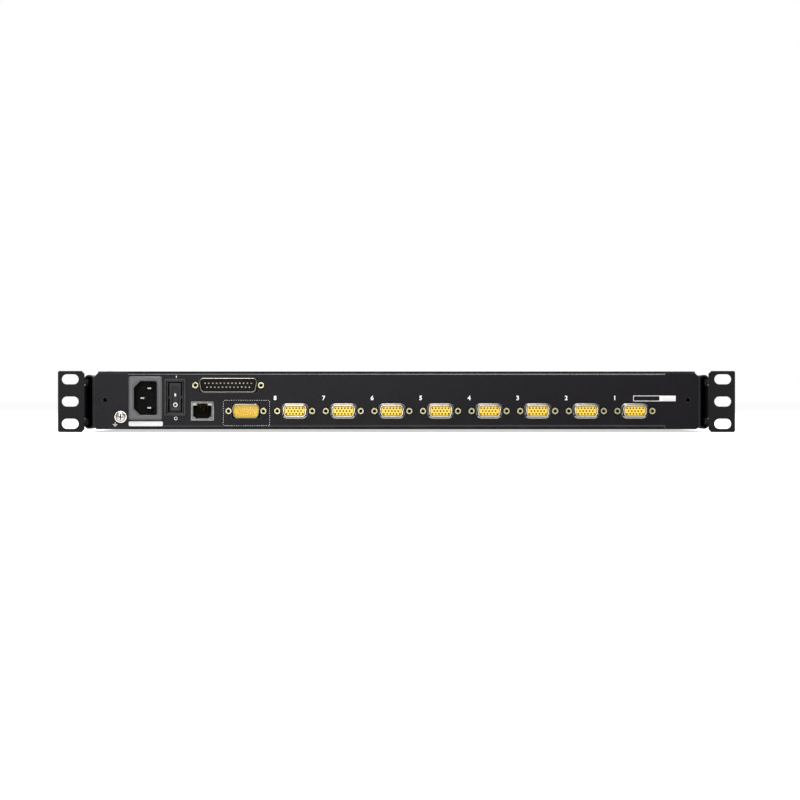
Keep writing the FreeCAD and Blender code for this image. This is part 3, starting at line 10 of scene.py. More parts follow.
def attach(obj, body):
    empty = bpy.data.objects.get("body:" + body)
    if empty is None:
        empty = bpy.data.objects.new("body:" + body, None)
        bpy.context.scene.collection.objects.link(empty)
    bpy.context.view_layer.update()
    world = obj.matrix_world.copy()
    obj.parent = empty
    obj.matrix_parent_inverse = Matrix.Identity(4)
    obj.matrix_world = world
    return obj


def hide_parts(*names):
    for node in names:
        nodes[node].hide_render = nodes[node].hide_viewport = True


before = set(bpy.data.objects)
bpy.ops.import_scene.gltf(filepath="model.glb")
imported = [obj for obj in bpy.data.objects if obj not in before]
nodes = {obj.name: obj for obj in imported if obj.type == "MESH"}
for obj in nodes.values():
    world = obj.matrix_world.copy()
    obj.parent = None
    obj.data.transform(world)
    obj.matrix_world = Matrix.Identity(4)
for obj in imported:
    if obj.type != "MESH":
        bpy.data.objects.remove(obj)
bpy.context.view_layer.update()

# Places on the rear panel, in millimetres
PANEL = 348.0
LOW_ROW = 15.0
CHAIN_ROW = 33.5
PORT_PITCH = 34.8
PORTS = [72.9 - PORT_PITCH * number for number in range(8)]
CONSOLE = 107.8
CHAIN = 120.5
CHAIN_SCREWS = 23.52
PORT_SCREWS = 12.495
LAN = 139.2
SWITCH = (158.8, 24.8)
INLET = (180.0, 24.3)
EARTH = (197.8, 10.8)


def mm(*values):
    """A place in millimetres as a vector in metres."""
    return Vector(values) * 0.001


def tone(red, green, blue):
    """A screen colour as the linear colour that a shader takes."""
    parts = [value / 255 for value in (red, green, blue)]
    parts = [part / 12.92 if part <= 0.04045 else ((part + 0.055) / 1.055) ** 2.4 for part in parts]
    return (*parts, 1.0)


# Shader groups that several finishes share


def shader_group(title, inputs, outputs):
    """A new shader group with its sockets, and its input and output nodes."""
    group = bpy.data.node_groups.new(title, "ShaderNodeTree")
    for label, kind, value in inputs:
        made = group.interface.new_socket(name=label, in_out="INPUT", socket_type=kind)
        made.default_value = value
    for label in outputs:
        group.interface.new_socket(name=label, in_out="OUTPUT", socket_type="NodeSocketFloat")
    return group, group.nodes.new("NodeGroupInput"), group.nodes.new("NodeGroupOutput")


def make_grain():
    """Fine grain, broad clouds and sparse specks, all from one place and one fineness."""
    inputs = [
        ("Place", "NodeSocketVector", (0, 0, 0)),
        ("Fineness", "NodeSocketFloat", 900.0),
        ("Stretch", "NodeSocketVector", (1, 1, 1)),
    ]
    group, enter, leave = shader_group("grain", inputs, ["Fine", "Broad", "Specks"])
    tree = group.nodes
    drawn = tree.new("ShaderNodeVectorMath")
    drawn.operation = "MULTIPLY"
    group.links.new(enter.outputs["Place"], drawn.inputs[0])
    group.links.new(enter.outputs["Stretch"], drawn.inputs[1])
    for label, share, detail in (("Fine", 1.0, 3.0), ("Broad", 0.03, 4.0), ("Specks", 0.4, 2.0)):
        size = tree.new("ShaderNodeMath")
        size.operation = "MULTIPLY"
        size.inputs[1].default_value = share
        group.links.new(enter.outputs["Fineness"], size.inputs[0])
        cloud = tree.new("ShaderNodeTexNoise")
        cloud.inputs["Detail"].default_value = detail
        cloud.inputs["Roughness"].default_value = 0.6
        group.links.new(drawn.outputs["Vector"], cloud.inputs["Vector"])
        group.links.new(size.outputs["Value"], cloud.inputs["Scale"])
        spread = tree.new("ShaderNodeMapRange")
        low, high = (0.66, 0.74) if label == "Specks" else (0.3, 0.7)
        spread.inputs["From Min"].default_value = low
        spread.inputs["From Max"].default_value = high
        group.links.new(cloud.outputs["Fac"], spread.inputs["Value"])
        group.links.new(spread.outputs["Result"], leave.inputs[label])
    return group


def make_edge_wear_and_highlight():
    """Where a surface turns at an edge, broken up by a patchy noise: real wear at the edges, and on some
    finishes a painted highlight along them.
    """
    inputs = [
        ("Place", "NodeSocketVector", (0, 0, 0)),
        ("Width", "NodeSocketFloat", 0.0004),
        ("Patches", "NodeSocketFloat", 160.0),
    ]
    group, enter, leave = shader_group("edge wear and highlight", inputs, ["Edge"])
    tree = group.nodes
    rounded = tree.new("ShaderNodeBevel")
    rounded.samples = 4
    flat = tree.new("ShaderNodeNewGeometry")
    turned = tree.new("ShaderNodeVectorMath")
    turned.operation = "DOT_PRODUCT"
    group.links.new(enter.outputs["Width"], rounded.inputs["Radius"])
    group.links.new(rounded.outputs["Normal"], turned.inputs[0])
    group.links.new(flat.outputs["Normal"], turned.inputs[1])
    edge = tree.new("ShaderNodeMapRange")
    edge.inputs["From Min"].default_value = 0.995
    edge.inputs["From Max"].default_value = 0.82
    group.links.new(turned.outputs["Value"], edge.inputs["Value"])
    patches = tree.new("ShaderNodeTexNoise")
    group.links.new(enter.outputs["Place"], patches.inputs["Vector"])
    group.links.new(enter.outputs["Patches"], patches.inputs["Scale"])
    wear_and_highlight_share = tree.new("ShaderNodeMath")
    wear_and_highlight_share.operation = "MULTIPLY"
    group.links.new(edge.outputs["Result"], wear_and_highlight_share.inputs[0])
    group.links.new(patches.outputs["Fac"], wear_and_highlight_share.inputs[1])
    group.links.new(wear_and_highlight_share.outputs["Value"], leave.inputs["Edge"])
    return group


grain_group = make_grain()
wear_and_highlight_group = make_edge_wear_and_highlight()
finishes = {}


def blended(tree, share, first, second):
    """One colour mixed into another by a share that changes over the surface."""
    mix = tree.nodes.new("ShaderNodeMix")
    mix.data_type = "RGBA"
    tree.links.new(share, mix.inputs["Factor"])
    for colour, place in ((first, "A"), (second, "B")):
        held = next(s for s in mix.inputs if s.name == place and s.type == "RGBA")
        if isinstance(colour, tuple):
            held.default_value = colour
        else:
            tree.links.new(colour, held)
    return next(s for s in mix.outputs if s.type == "RGBA")


def finish(
    name,
    slot,
    colour,
    other,
    rough=0.5,
    swing=0.06,
    fineness=900.0,
    stretch=(1, 1, 1),
    bump=0.2,
    depth=0.02,
    edge=None,
    edge_width=0.35,
    specks=None,
    **sockets,
):
    """A finish with two clouded tones, grain in its roughness and bump, specks, and paler or darker edges
    that are wear and, on some finishes, a painted highlight.
    """
    material = bpy.data.materials.new(name)
    material.use_nodes = True
    tree = material.node_tree
    shader = tree.nodes["Principled BSDF"]
    place = tree.nodes.new("ShaderNodeTexCoord").outputs["Object"]
    grain = tree.nodes.new("ShaderNodeGroup")
    grain.node_tree = grain_group
    grain.inputs["Fineness"].default_value = fineness
    grain.inputs["Stretch"].default_value = stretch
    tree.links.new(place, grain.inputs["Place"])
    shade = blended(tree, grain.outputs["Broad"], colour, other)
    if specks:
        shade = blended(tree, grain.outputs["Specks"], shade, specks)
    # Paler or darker edges: wear at the edges, and on some finishes a painted highlight.
    if edge:
        wear = tree.nodes.new("ShaderNodeGroup")
        wear.node_tree = wear_and_highlight_group
        wear.inputs["Width"].default_value = edge_width * 0.001
        tree.links.new(place, wear.inputs["Place"])
        shade = blended(tree, wear.outputs["Edge"], shade, edge)
    tree.links.new(shade, shader.inputs["Base Color"])
    gloss = tree.nodes.new("ShaderNodeMapRange")
    gloss.inputs["To Min"].default_value = rough - swing
    gloss.inputs["To Max"].default_value = rough + swing
    tree.links.new(grain.outputs["Fine"], gloss.inputs["Value"])
    tree.links.new(gloss.outputs["Result"], shader.inputs["Roughness"])
    relief = tree.nodes.new("ShaderNodeBump")
    relief.inputs["Strength"].default_value = bump
    relief.inputs["Distance"].default_value = depth * 0.001
    tree.links.new(grain.outputs["Fine"], relief.inputs["Height"])
    tree.links.new(relief.outputs["Normal"], shader.inputs["Normal"])
    for label, value in sockets.items():
        shader.inputs[label.replace("_", " ")].default_value = value
    material["slot"] = slot
    finishes[name] = material
    return material


finish(
    "case_paint", "case_paint", tone(25, 23, 27), tone(20, 19, 23), rough=0.48, fineness=1500,
    bump=0.35, depth=0.03, edge=tone(96, 94, 96), specks=tone(34, 31, 36),
)
# Panel paint: its pale edge tone is partly wear and partly a painted highlight along the folded bends.
finish(
    "panel_paint", "panel_paint", tone(15, 12, 18), tone(10, 8, 13), rough=0.38, fineness=1700,
    bump=0.3, depth=0.025, edge=tone(140, 138, 140), edge_width=0.4, specks=tone(25, 22, 28),
)
finish(
    "ear_paint", "ear_paint", tone(22, 21, 23), tone(18, 17, 19), rough=0.44, fineness=1400,
    bump=0.3, depth=0.03, edge=tone(88, 86, 87), specks=tone(26, 25, 27), Specular_IOR_Level=0.07,
)
finish(
    "zinc_plate", "zinc", tone(196, 194, 186), tone(170, 168, 162), rough=0.34, swing=0.1,
    fineness=500, bump=0.15, depth=0.01, edge=tone(222, 220, 214), specks=tone(140, 138, 132), Metallic=1.0,
)
finish(
    "yellow_zinc", "zinc", tone(148, 143, 106), tone(128, 126, 106), rough=0.38, swing=0.1,
    fineness=700, bump=0.12, depth=0.008, edge=tone(236, 232, 206), specks=tone(150, 138, 92), Metallic=1.0,
)
finish(
    "nickel_shell", "nickel", tone(204, 201, 190), tone(186, 183, 172), rough=0.3, swing=0.05,
    fineness=600, bump=0.05, depth=0.003, edge=tone(240, 238, 232), specks=tone(186, 182, 174), Metallic=1.0,
)
finish(
    "lan_steel", "nickel", tone(96, 95, 93), tone(81, 80, 80), rough=0.42, swing=0.08,
    fineness=500, stretch=(1, 1, 6), bump=0.12, depth=0.006, edge=tone(214, 214, 214), Metallic=1.0,
)
finish(
    "rail_steel", "rail_steel", tone(176, 178, 178), tone(150, 152, 154), rough=0.32, swing=0.1,
    fineness=800, stretch=(1, 0.05, 1), bump=0.2, depth=0.01, edge=tone(214, 214, 212), Metallic=1.0,
)
finish(
    "hinge_steel", "rail_steel", tone(134, 135, 138), tone(118, 119, 122), rough=0.36, swing=0.06,
    fineness=500, bump=0.05, depth=0.003, edge=tone(190, 190, 190), edge_width=0.2, Metallic=1.0,
)
finish(
    "ball_steel", "ball_steel", tone(204, 204, 206), tone(188, 188, 190), rough=0.12, swing=0.04,
    fineness=600, bump=0.05, depth=0.003, specks=tone(150, 150, 150), Metallic=1.0,
)
finish(
    "yellow_plastic", "yellow_plastic", tone(242, 196, 58), tone(232, 184, 48), rough=0.38, swing=0.06,
    fineness=900, bump=0.1, depth=0.01, edge=tone(255, 218, 100), edge_width=0.15,
)
finish(
    "black_plastic", "black_plastic", tone(27, 26, 28), tone(20, 20, 22), rough=0.46, swing=0.06,
    fineness=1600, bump=0.3, depth=0.02, edge=tone(78, 77, 79), edge_width=0.25, specks=tone(34, 33, 35),
    Specular_IOR_Level=0.22,
)
finish(
    "console_yellow", "yellow_plastic", tone(216, 180, 46), tone(204, 166, 38), rough=0.38, swing=0.06,
    fineness=1100, bump=0.1, depth=0.006, edge=tone(240, 212, 110), edge_width=0.25,
)
finish(
    "switch_black", "black_plastic", tone(22, 21, 23), tone(17, 17, 19), rough=0.42, swing=0.06,
    fineness=1600, bump=0.25, depth=0.015, edge=tone(124, 123, 126), edge_width=0.35, specks=tone(34, 33, 35),
    Specular_IOR_Level=0.3,
)
finish(
    "port_black", "black_plastic", tone(17, 15, 15), tone(12, 11, 11), rough=0.5, swing=0.06,
    fineness=1600, bump=0.2, depth=0.01, edge=tone(58, 56, 55), edge_width=0.2, Specular_IOR_Level=0.12,
)
finish(
    "inlet_plastic", "grey_plastic", tone(74, 73, 76), tone(65, 64, 68), rough=0.42, swing=0.06,
    fineness=1300, bump=0.25, depth=0.015, edge=tone(126, 125, 128), specks=tone(98, 97, 100),
)
finish(
    "deck_plastic", "grey_plastic", tone(50, 50, 53), tone(43, 43, 46), rough=0.55, swing=0.06,
    fineness=1500, bump=0.5, depth=0.03, edge=tone(74, 74, 77), specks=tone(48, 48, 51),
)
finish(
    "lid_plastic", "grey_plastic", tone(38, 38, 41), tone(31, 31, 34), rough=0.5, swing=0.06,
    fineness=1400, bump=0.45, depth=0.03, edge=tone(74, 74, 77), specks=tone(46, 46, 49),
)
finish(
    "key_plastic", "key_plastic", tone(33, 33, 36), tone(27, 27, 30), rough=0.46, swing=0.08,
    fineness=2200, bump=0.35, depth=0.02, edge=tone(66, 66, 69), edge_width=0.4, specks=tone(45, 45, 48),
)
finish(
    "pad_film", "pad_film", tone(58, 58, 62), tone(52, 52, 56), rough=0.36, swing=0.05,
    fineness=2600, bump=0.2, depth=0.008, specks=tone(66, 66, 70),
)
finish(
    "screen_glass", "screen", tone(22, 24, 27), tone(16, 18, 21), rough=0.24, swing=0.04,
    fineness=2600, bump=0.04, depth=0.004, specks=tone(28, 30, 33), Coat_Weight=0.15, Coat_Roughness=0.2,
)
finish(
    "board_green", "board", tone(36, 88, 58), tone(28, 74, 48), rough=0.35, swing=0.08,
    fineness=500, bump=0.3, depth=0.02, edge=tone(150, 140, 96), specks=tone(150, 150, 120),
)
finish(
    "supply_steel", "zinc", tone(168, 170, 170), tone(150, 152, 152), rough=0.42, swing=0.1,
    fineness=260, bump=0.1, depth=0.01, edge=tone(204, 204, 202), specks=tone(186, 188, 188), Metallic=1.0,
)
finish(
    "rubber", "rubber", tone(26, 26, 27), tone(20, 20, 21), rough=0.75, swing=0.08,
    fineness=1300, bump=0.5, depth=0.03, edge=tone(52, 52, 53), specks=tone(34, 34, 35),
)
finish(
    "gold", "gold", tone(232, 196, 108), tone(216, 176, 88), rough=0.22, swing=0.06,
    fineness=900, bump=0.06, depth=0.003, edge=tone(246, 222, 150), Metallic=1.0,
)
# Nickel darkened with painted shade, for the blades that sit deep inside the inlet.
finish(
    "blade_nickel_painted_shade", "nickel", tone(150, 148, 142), tone(128, 126, 122), rough=0.46, swing=0.05,
    fineness=700, stretch=(1, 0.1, 1), bump=0.1, depth=0.004, edge=tone(236, 234, 230), Metallic=1.0,
)
finish(
    "mark_white", "panel_paint", tone(246, 246, 244), tone(232, 232, 232), rough=0.55, swing=0.08,
    fineness=2600, bump=0.2, depth=0.01, specks=tone(170, 170, 170),
)
finish(
    "plate_white", "panel_paint", tone(222, 221, 220), tone(208, 207, 207), rough=0.4, swing=0.06,
    fineness=1800, bump=0.15, depth=0.01, edge=tone(196, 195, 192), specks=tone(206, 205, 202),
)
# Painted shade: a dark finish put inside holes, bores, wells, mouths and gaps that lie in shade.
finish(
    "painted_hollow_shade", "black_plastic", tone(18, 15, 13), tone(12, 11, 10), rough=0.75, swing=0.08,
    fineness=1200, bump=0.2, depth=0.02, specks=tone(24, 21, 18), Specular_IOR_Level=0.2,
)
finish(
    "light_lens", "grey_plastic", tone(150, 160, 132), tone(132, 144, 116), rough=0.2, swing=0.05,
    fineness=900, bump=0.05, depth=0.005, edge=tone(196, 204, 180), edge_width=0.15, Coat_Weight=0.5,
)
finish(
    "black_screw", "zinc", tone(44, 43, 45), tone(34, 33, 36), rough=0.34, swing=0.08,
    fineness=700, bump=0.15, depth=0.008, edge=tone(120, 119, 121), edge_width=0.2, Metallic=0.6,
)


# Modelling helpers


def alone(piece):
    """Selects one piece and nothing else."""
    bpy.ops.object.select_all(action="DESELECT")
    piece.select_set(True)
    bpy.context.view_layer.objects.active = piece


def named(name):
    """Names the piece that was just added."""
    piece = bpy.context.active_object
    piece.name = name
    piece.data.name = name
    return piece


def settle(piece):
    """Puts a piece's place, turn and size into its mesh."""
    alone(piece)
    bpy.ops.object.transform_apply(location=True, rotation=True, scale=True)
    return piece


def edit(piece, mode, test=None):
    """Edit mode with only the faces or edges selected whose middle, in mm, and normal pass the test."""
    alone(piece)
    bpy.ops.object.mode_set(mode="EDIT")
    bpy.ops.mesh.select_mode(type=mode)
    bpy.ops.mesh.select_all(action="SELECT" if test is None else "DESELECT")
    if test is None:
        return
    mesh = bmesh.from_edit_mesh(piece.data)
    if mode == "FACE":
        for face in mesh.faces:
            face.select_set(test(face.calc_center_median() * 1000, face.normal))
    else:
        for line in mesh.edges:
            ends = [v.co * 1000 for v in line.verts]
            line.select_set(test((ends[0] + ends[1]) / 2, (ends[1] - ends[0]).normalized()))
    mesh.select_flush_mode()
    bmesh.update_edit_mesh(piece.data)


def leave_edit():
    """Back to object mode."""
    bpy.ops.object.mode_set(mode="OBJECT")


def brick(name, low, high):
    """A block between two corners, in mm, as the start of a piece."""
    low, high = mm(*low), mm(*high)
    bpy.ops.object.select_all(action="DESELECT")
    bpy.ops.mesh.primitive_cube_add(size=1, location=(low + high) / 2)
    piece = named(name)
    piece.scale = high - low
    return settle(piece)


def placed(axis, level, across, up):
    """A point in metres from its level along an axis and its place across it, in mm."""
    return {
        "x": mm(level, across, up),
        "y": mm(across, level, up),
        "z": mm(across, up, level),
    }[axis]


def loft(name, axis, rings, first=True, last=True):
    """A skin through rings of points. Each ring is a level along the axis and its outline, in mm."""
    count = len(rings[0][1])
    bpy.ops.object.select_all(action="DESELECT")
    bpy.ops.mesh.primitive_circle_add(vertices=count, radius=0.01, fill_type="NGON" if first else "NOTHING")
    piece = named(name)
    settle(piece)
    level, outline = rings[0]
    for corner, point in zip(piece.data.vertices, outline):
        corner.co = placed(axis, level, *point)
    alone(piece)
    bpy.ops.object.mode_set(mode="EDIT")
    bpy.ops.mesh.select_mode(type="VERT")
    bpy.ops.mesh.select_all(action="SELECT")
    order = list(range(count))
    if first:
        bpy.ops.mesh.select_mode(type="EDGE")
    for level, outline in rings[1:]:
        mesh = bmesh.from_edit_mesh(piece.data)
        mesh.verts.ensure_lookup_table()
        before = [mesh.verts[i].co.copy() for i in order]
        bpy.ops.mesh.extrude_edges_move()
        mesh = bmesh.from_edit_mesh(piece.data)
        mesh.verts.ensure_lookup_table()
        fresh = [corner.index for corner in mesh.verts if corner.select]
        order = match_order(mesh, fresh, before)
        for index, point in zip(order, outline):
            mesh.verts[index].co = placed(axis, level, *point)
        bmesh.update_edit_mesh(piece.data)
    if last:
        bpy.ops.mesh.edge_face_add()
    bpy.ops.mesh.select_all(action="SELECT")
    bpy.ops.mesh.normals_make_consistent(inside=False)
    bpy.ops.object.mode_set(mode="OBJECT")
    return piece


def match_order(mesh, fresh, before):
    """The fresh corners in the order of the old ring they were drawn from."""
    left = list(fresh)
    order = []
    for spot in before:
        nearest = min(left, key=lambda index: (mesh.verts[index].co - spot).length_squared)
        left.remove(nearest)
        order.append(nearest)
    return order


def circle_ring(across, up, radius, count=24, turn=0.0):
    """A round outline."""
    steps = [turn + 2 * math.pi * number / count for number in range(count)]
    return [(across + radius * math.cos(a), up + radius * math.sin(a)) for a in steps]


def corner_ring(corners, radius, steps=4):
    """An outline through corners, each rounded by a radius."""
    outline = []
    count = len(corners)
    for number, corner in enumerate(corners):
        here = Vector(corner)
        back = (Vector(corners[number - 1]) - here).normalized()
        ahead = (Vector(corners[(number + 1) % count]) - here).normalized()
        half = back.angle(ahead) / 2
        middle = here + (back + ahead).normalized() * (radius / math.sin(half))
        start = here + back * (radius / math.tan(half)) - middle
        swing = start.angle_signed(here + ahead * (radius / math.tan(half)) - middle)
        for step in range(steps + 1):
            turned = start.copy()
            turned.rotate(Matrix.Rotation(-swing * step / steps, 2))
            outline.append(tuple(middle + turned))
    return outline


def box_ring(across, up, wide, tall, radius, steps=4):
    """A rectangle's outline with rounded corners."""
    a, b = wide / 2, tall / 2
    corners = [(across - a, up - b), (across + a, up - b), (across + a, up + b), (across - a, up + b)]
    return corner_ring(corners, radius, steps)


def d_ring(across, up, wide, tall, radius, steps=5):
    """A D connector's outline, wider above, with rounded corners."""
    lean = tall / 2 * math.tan(math.radians(10))
    top, bottom = wide / 2 + lean, wide / 2 - lean
    corners = [
        (across - bottom, up - tall / 2),
        (across + bottom, up - tall / 2),
        (across + top, up + tall / 2),
        (across - top, up + tall / 2),
    ]
    return corner_ring(corners, radius, steps)


def cross_ring(across, up, arm, half):
    """A cross-shaped outline of 24 points for a recess in a screw's head."""
    near, far = half * 1.2, half * 1.6
    quarter = [(arm, -half), (arm, 0.0), (arm, half), (far, half), (near, near), (half, far)]
    outline = []
    for turn in range(4):
        c, s = round(math.cos(turn * math.pi / 2)), round(math.sin(turn * math.pi / 2))
        outline += [(across + c * x - s * z, up + s * x + c * z) for x, z in quarter]
    return outline


def soften(piece, width, segments=2, angle=30.0):
    """Rounds a piece's edges by a width in mm and smooths it."""
    alone(piece)
    rounding = piece.modifiers.new("rounding", "BEVEL")
    rounding.width = width * 0.001
    rounding.segments = segments
    rounding.limit_method = "ANGLE"
    rounding.angle_limit = math.radians(angle)
    bpy.ops.object.modifier_apply(modifier=rounding.name)
    return smooth(piece)


def smooth(piece, angle=40.0):
    """Shades a piece smooth, apart from its sharp edges."""
    alone(piece)
    bpy.ops.object.shade_smooth_by_angle(angle=math.radians(angle))
    return piece


def hollowed(piece, tool):
    """Cuts a tool out of a piece and removes the tool."""
    alone(piece)
    cutter = piece.modifiers.new("hollow", "BOOLEAN")
    cutter.operation = "DIFFERENCE"
    cutter.solver = "EXACT"
    cutter.object = tool
    bpy.ops.object.modifier_apply(modifier=cutter.name)
    bpy.data.objects.remove(tool)
    return piece


def joined(name, pieces):
    """Several pieces as one, each keeping its own finish."""
    alone(pieces[0])
    for piece in pieces:
        piece.select_set(True)
    bpy.ops.object.join()
    return named(name)


def copied(piece, x=0.0, y=0.0, z=0.0):
    """A copy of a piece with a mesh of its own, moved in mm."""
    twin = piece.copy()
    twin.data = piece.data.copy()
    bpy.context.scene.collection.objects.link(twin)
    twin.data.transform(Matrix.Translation(mm(x, y, z)))
    return twin


def row_of(name, piece, steps):
    """A piece repeated at each step, in mm, as one piece."""
    return joined(name, [piece] + [copied(piece, *step) for step in steps])


def twin_of(node_name, name):
    """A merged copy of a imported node's mesh, as the start of a new piece."""
    source = nodes[node_name]
    twin = source.copy()
    twin.data = source.data.copy()
    twin.parent = None
    twin.name = name
    twin.data.name = name
    for key in list(twin.keys()):
        del twin[key]
    twin.modifiers.clear()
    bpy.context.scene.collection.objects.link(twin)
    twin.hide_render = False
    edit(twin, "FACE")
    bpy.ops.mesh.remove_doubles(threshold=0.000002)
    bpy.ops.mesh.dissolve_limited(angle_limit=math.radians(0.5))
    leave_edit()
    return twin


def coated(piece, name):
    """Gives a piece its finish."""
    piece.data.materials.clear()
    piece.data.materials.append(finishes[name])
    return piece


def rides(piece, body, *stands_for):
    """Ties a finished piece to its body, and hides the nodes that it stands for."""
    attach(piece, body)
    if stands_for:
        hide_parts(*stands_for)
    return piece


def dress(name, finish_name, rounding=0.25, segments=2):
    """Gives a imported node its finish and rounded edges. Its own mesh stays as it is."""
    node = nodes[name]
    node.data.materials.clear()
    node.data.materials.append(finishes[finish_name])
    if not rounding:
        return
    weld = node.modifiers.new("weld", "WELD")
    weld.merge_threshold = 0.000002
    plain = node.modifiers.new("plain", "DECIMATE")
    plain.decimate_type = "DISSOLVE"
    plain.angle_limit = math.radians(0.5)
    edge = node.modifiers.new("edge", "BEVEL")
    edge.width = rounding * 0.001
    edge.segments = segments
    edge.limit_method = "ANGLE"
    edge.angle_limit = math.radians(40)
    edge.harden_normals = True


def shine_on_bends(name, flat, bent):
    """More shine where a sheet's surface leans up or down, as on a folded edge."""
    tree = finishes[name].node_tree
    split = tree.nodes.new("ShaderNodeSeparateXYZ")
    tree.links.new(tree.nodes.new("ShaderNodeTexCoord").outputs["Normal"], split.inputs["Vector"])
    lean = tree.nodes.new("ShaderNodeMath")
    lean.operation = "ABSOLUTE"
    tree.links.new(split.outputs["Z"], lean.inputs[0])
    share = tree.nodes.new("ShaderNodeMapRange")
    share.inputs["From Min"].default_value = 0.08
    share.inputs["From Max"].default_value = 0.45
    share.inputs["To Min"].default_value = flat
    share.inputs["To Max"].default_value = bent
    tree.links.new(lean.outputs["Value"], share.inputs["Value"])
    tree.links.new(share.outputs["Result"], tree.nodes["Principled BSDF"].inputs["Specular IOR Level"])


shine_on_bends("panel_paint", 0.09, 1.0)
shine_on_bends("case_paint", 0.04, 0.4)


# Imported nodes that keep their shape

for label, finish_name, rounding in (
    ("case_pan", "case_paint", 0.2),
    ("case_cover", "case_paint", 0.15),
    ("rear_panel", "panel_paint", 0.15),
    ("bulkhead", "case_paint", 0.15),
    ("cable_grommet", "rubber", 0.6),
    ("front_ears", "ear_paint", 0.3),
    ("side_channels", "case_paint", 0.15),
    ("rear_bracket_right", "ear_paint", 0.25),
    ("rear_bracket_left", "ear_paint", 0.25),
    ("slide_outers", "rail_steel", 0.1),
    ("slide_inners", "rail_steel", 0.1),
    ("slide_middle_right", "rail_steel", 0.1),
    ("slide_middle_left", "rail_steel", 0.1),
    ("drawer_tray", "case_paint", 0.2),
    ("keyboard_deck", "deck_plastic", 0.4),
    ("keyboard_plate", "black_plastic", 0.3),
    ("touchpad", "pad_film", 0.3),
    ("touchpad_button_right", "key_plastic", 0.5),
    ("touchpad_button_left", "key_plastic", 0.5),
    ("front_handle", "black_plastic", 0.8),
    ("catch_right", "inlet_plastic", 0.5),
    ("catch_left", "inlet_plastic", 0.5),
    ("hinge_brackets", "hinge_steel", 0.3),
    ("hinge_pins", "zinc_plate", 0.4),
    ("lid_cover", "lid_plastic", 0.3),
    ("lid_bezel", "lid_plastic", 0.4),
    ("lcd_panel", "screen_glass", 0.2),
    ("lid_grip", "black_plastic", 0.8),
    ("lid_latch", "inlet_plastic", 0.6),
    ("power_supply", "supply_steel", 0.4),
    ("main_board", "board_green", 0.1),
    *((f"screen_button_{number}", "inlet_plastic", 0.3) for number in range(1, 5)),
):
    dress(label, finish_name, rounding)


# D connectors


FEMALE = (PORTS[0], LOW_ROW, 16.4, 8.4)
CONSOLE_MALE = (CONSOLE, LOW_ROW, 18.6, 10.0)
CHAIN_MALE = (CHAIN, CHAIN_ROW, 40.4, 10.1)
SHELL_END = 5.8


def darkened(piece, test, finish_name="painted_hollow_shade"):
    """Gives the faces whose middle, in mm, passes the test another finish, the painted shade one if none is
    named.
    """
    piece.data.materials.append(finishes[finish_name])
    last = len(piece.data.materials) - 1
    for face in piece.data.polygons:
        if test(face.center * 1000):
            face.material_index = last
    return piece


def drawn_shell(across, up, wide, tall, flare, corner, wall):
    """A drawn steel shell: its flared root, the tube, its rolled lip and the inside, with painted shade on
    the flange behind the panel and on a thick shell's inner wall.
    """
    outside = [(-1.2, 1.0), (0.0, 1.0), (0.25, 0.88), (0.6, 0.6), (1.0, 0.3), (1.5, 0.08), (2.1, 0.0)]
    levels = [(level, flare * share) for level, share in outside]
    levels += [(SHELL_END - 0.3, 0.0), (SHELL_END - 0.08, -0.09), (SHELL_END, -0.25)]
    levels += [(SHELL_END - 0.06, 0.1 - wall), (SHELL_END - 0.35, -wall), (0.6, -wall)]
    rings = [
        (PANEL + level, d_ring(across, up, wide + 2 * grow, tall + 2 * grow, corner + 0.8 * grow, 6))
        for level, grow in levels
    ]
    flange = d_ring(across, up, wide + 6.0, tall + 1.6, 1.2, 6)
    rings = [(PANEL - 2.0, flange), (PANEL - 1.2, flange)] + rings
    shell = coated(smooth(loft("drawn_shell", "y", rings, first=False, last=False), 50), "nickel_shell")
    half_wide, half_tall = wide / 2 - wall + 0.9, tall / 2 - wall + 0.1

    def painted_shade_faces(middle):
        """Painted shade: true behind the panel's face, where the flange shows round the tube, and on the
        inner wall of a thick shell.
        """
        inside = abs(middle.x - across) < half_wide and abs(middle.z - up) < half_tall
        return middle.y < PANEL - 0.7 or (inside and middle.y < PANEL + SHELL_END - 0.5 and wall > 0.5)

    return darkened(shell, painted_shade_faces)


def moulded_insert(across, up, wide, tall, corner, face, finish_name):
    """The plastic insert inside a shell, with a rounded rim round its face."""
    rings = [
        (PANEL + 0.3, d_ring(across, up, wide, tall, corner, 6)),
        (PANEL + face - 0.3, d_ring(across, up, wide, tall, corner, 6)),
        (PANEL + face - 0.08, d_ring(across, up, wide - 0.2, tall - 0.2, corner - 0.1, 6)),
        (PANEL + face, d_ring(across, up, wide - 0.6, tall - 0.6, corner - 0.3, 6)),
    ]
    return coated(smooth(loft("moulded_insert", "y", rings), 50), finish_name)


def pin_spots(counts, pitch, rows):
    """Where pins or holes stand about a connector's middle."""
    spots = []
    for row, count in enumerate(counts):
        up = rows * ((len(counts) - 1) / 2 - row)
        spots += [(pitch * (number - (count - 1) / 2), up) for number in range(count)]
    return spots


FIFTEEN_HIGH = pin_spots((6, 5, 6), 2.29, 2.04)
TWENTY_FIVE = pin_spots((13, 12), 2.76, 2.84)


def socket_tool(across, up, face):
    """A funnel-mouthed cutter for one contact hole."""
    levels = [(0.3, 0.66), (0.0, 0.62), (-0.3, 0.5), (-1.8, 0.48)]
    rings = [(PANEL + face + level, circle_ring(across, up, radius, 12)) for level, radius in levels]
    return loft("socket_tool", "y", rings)


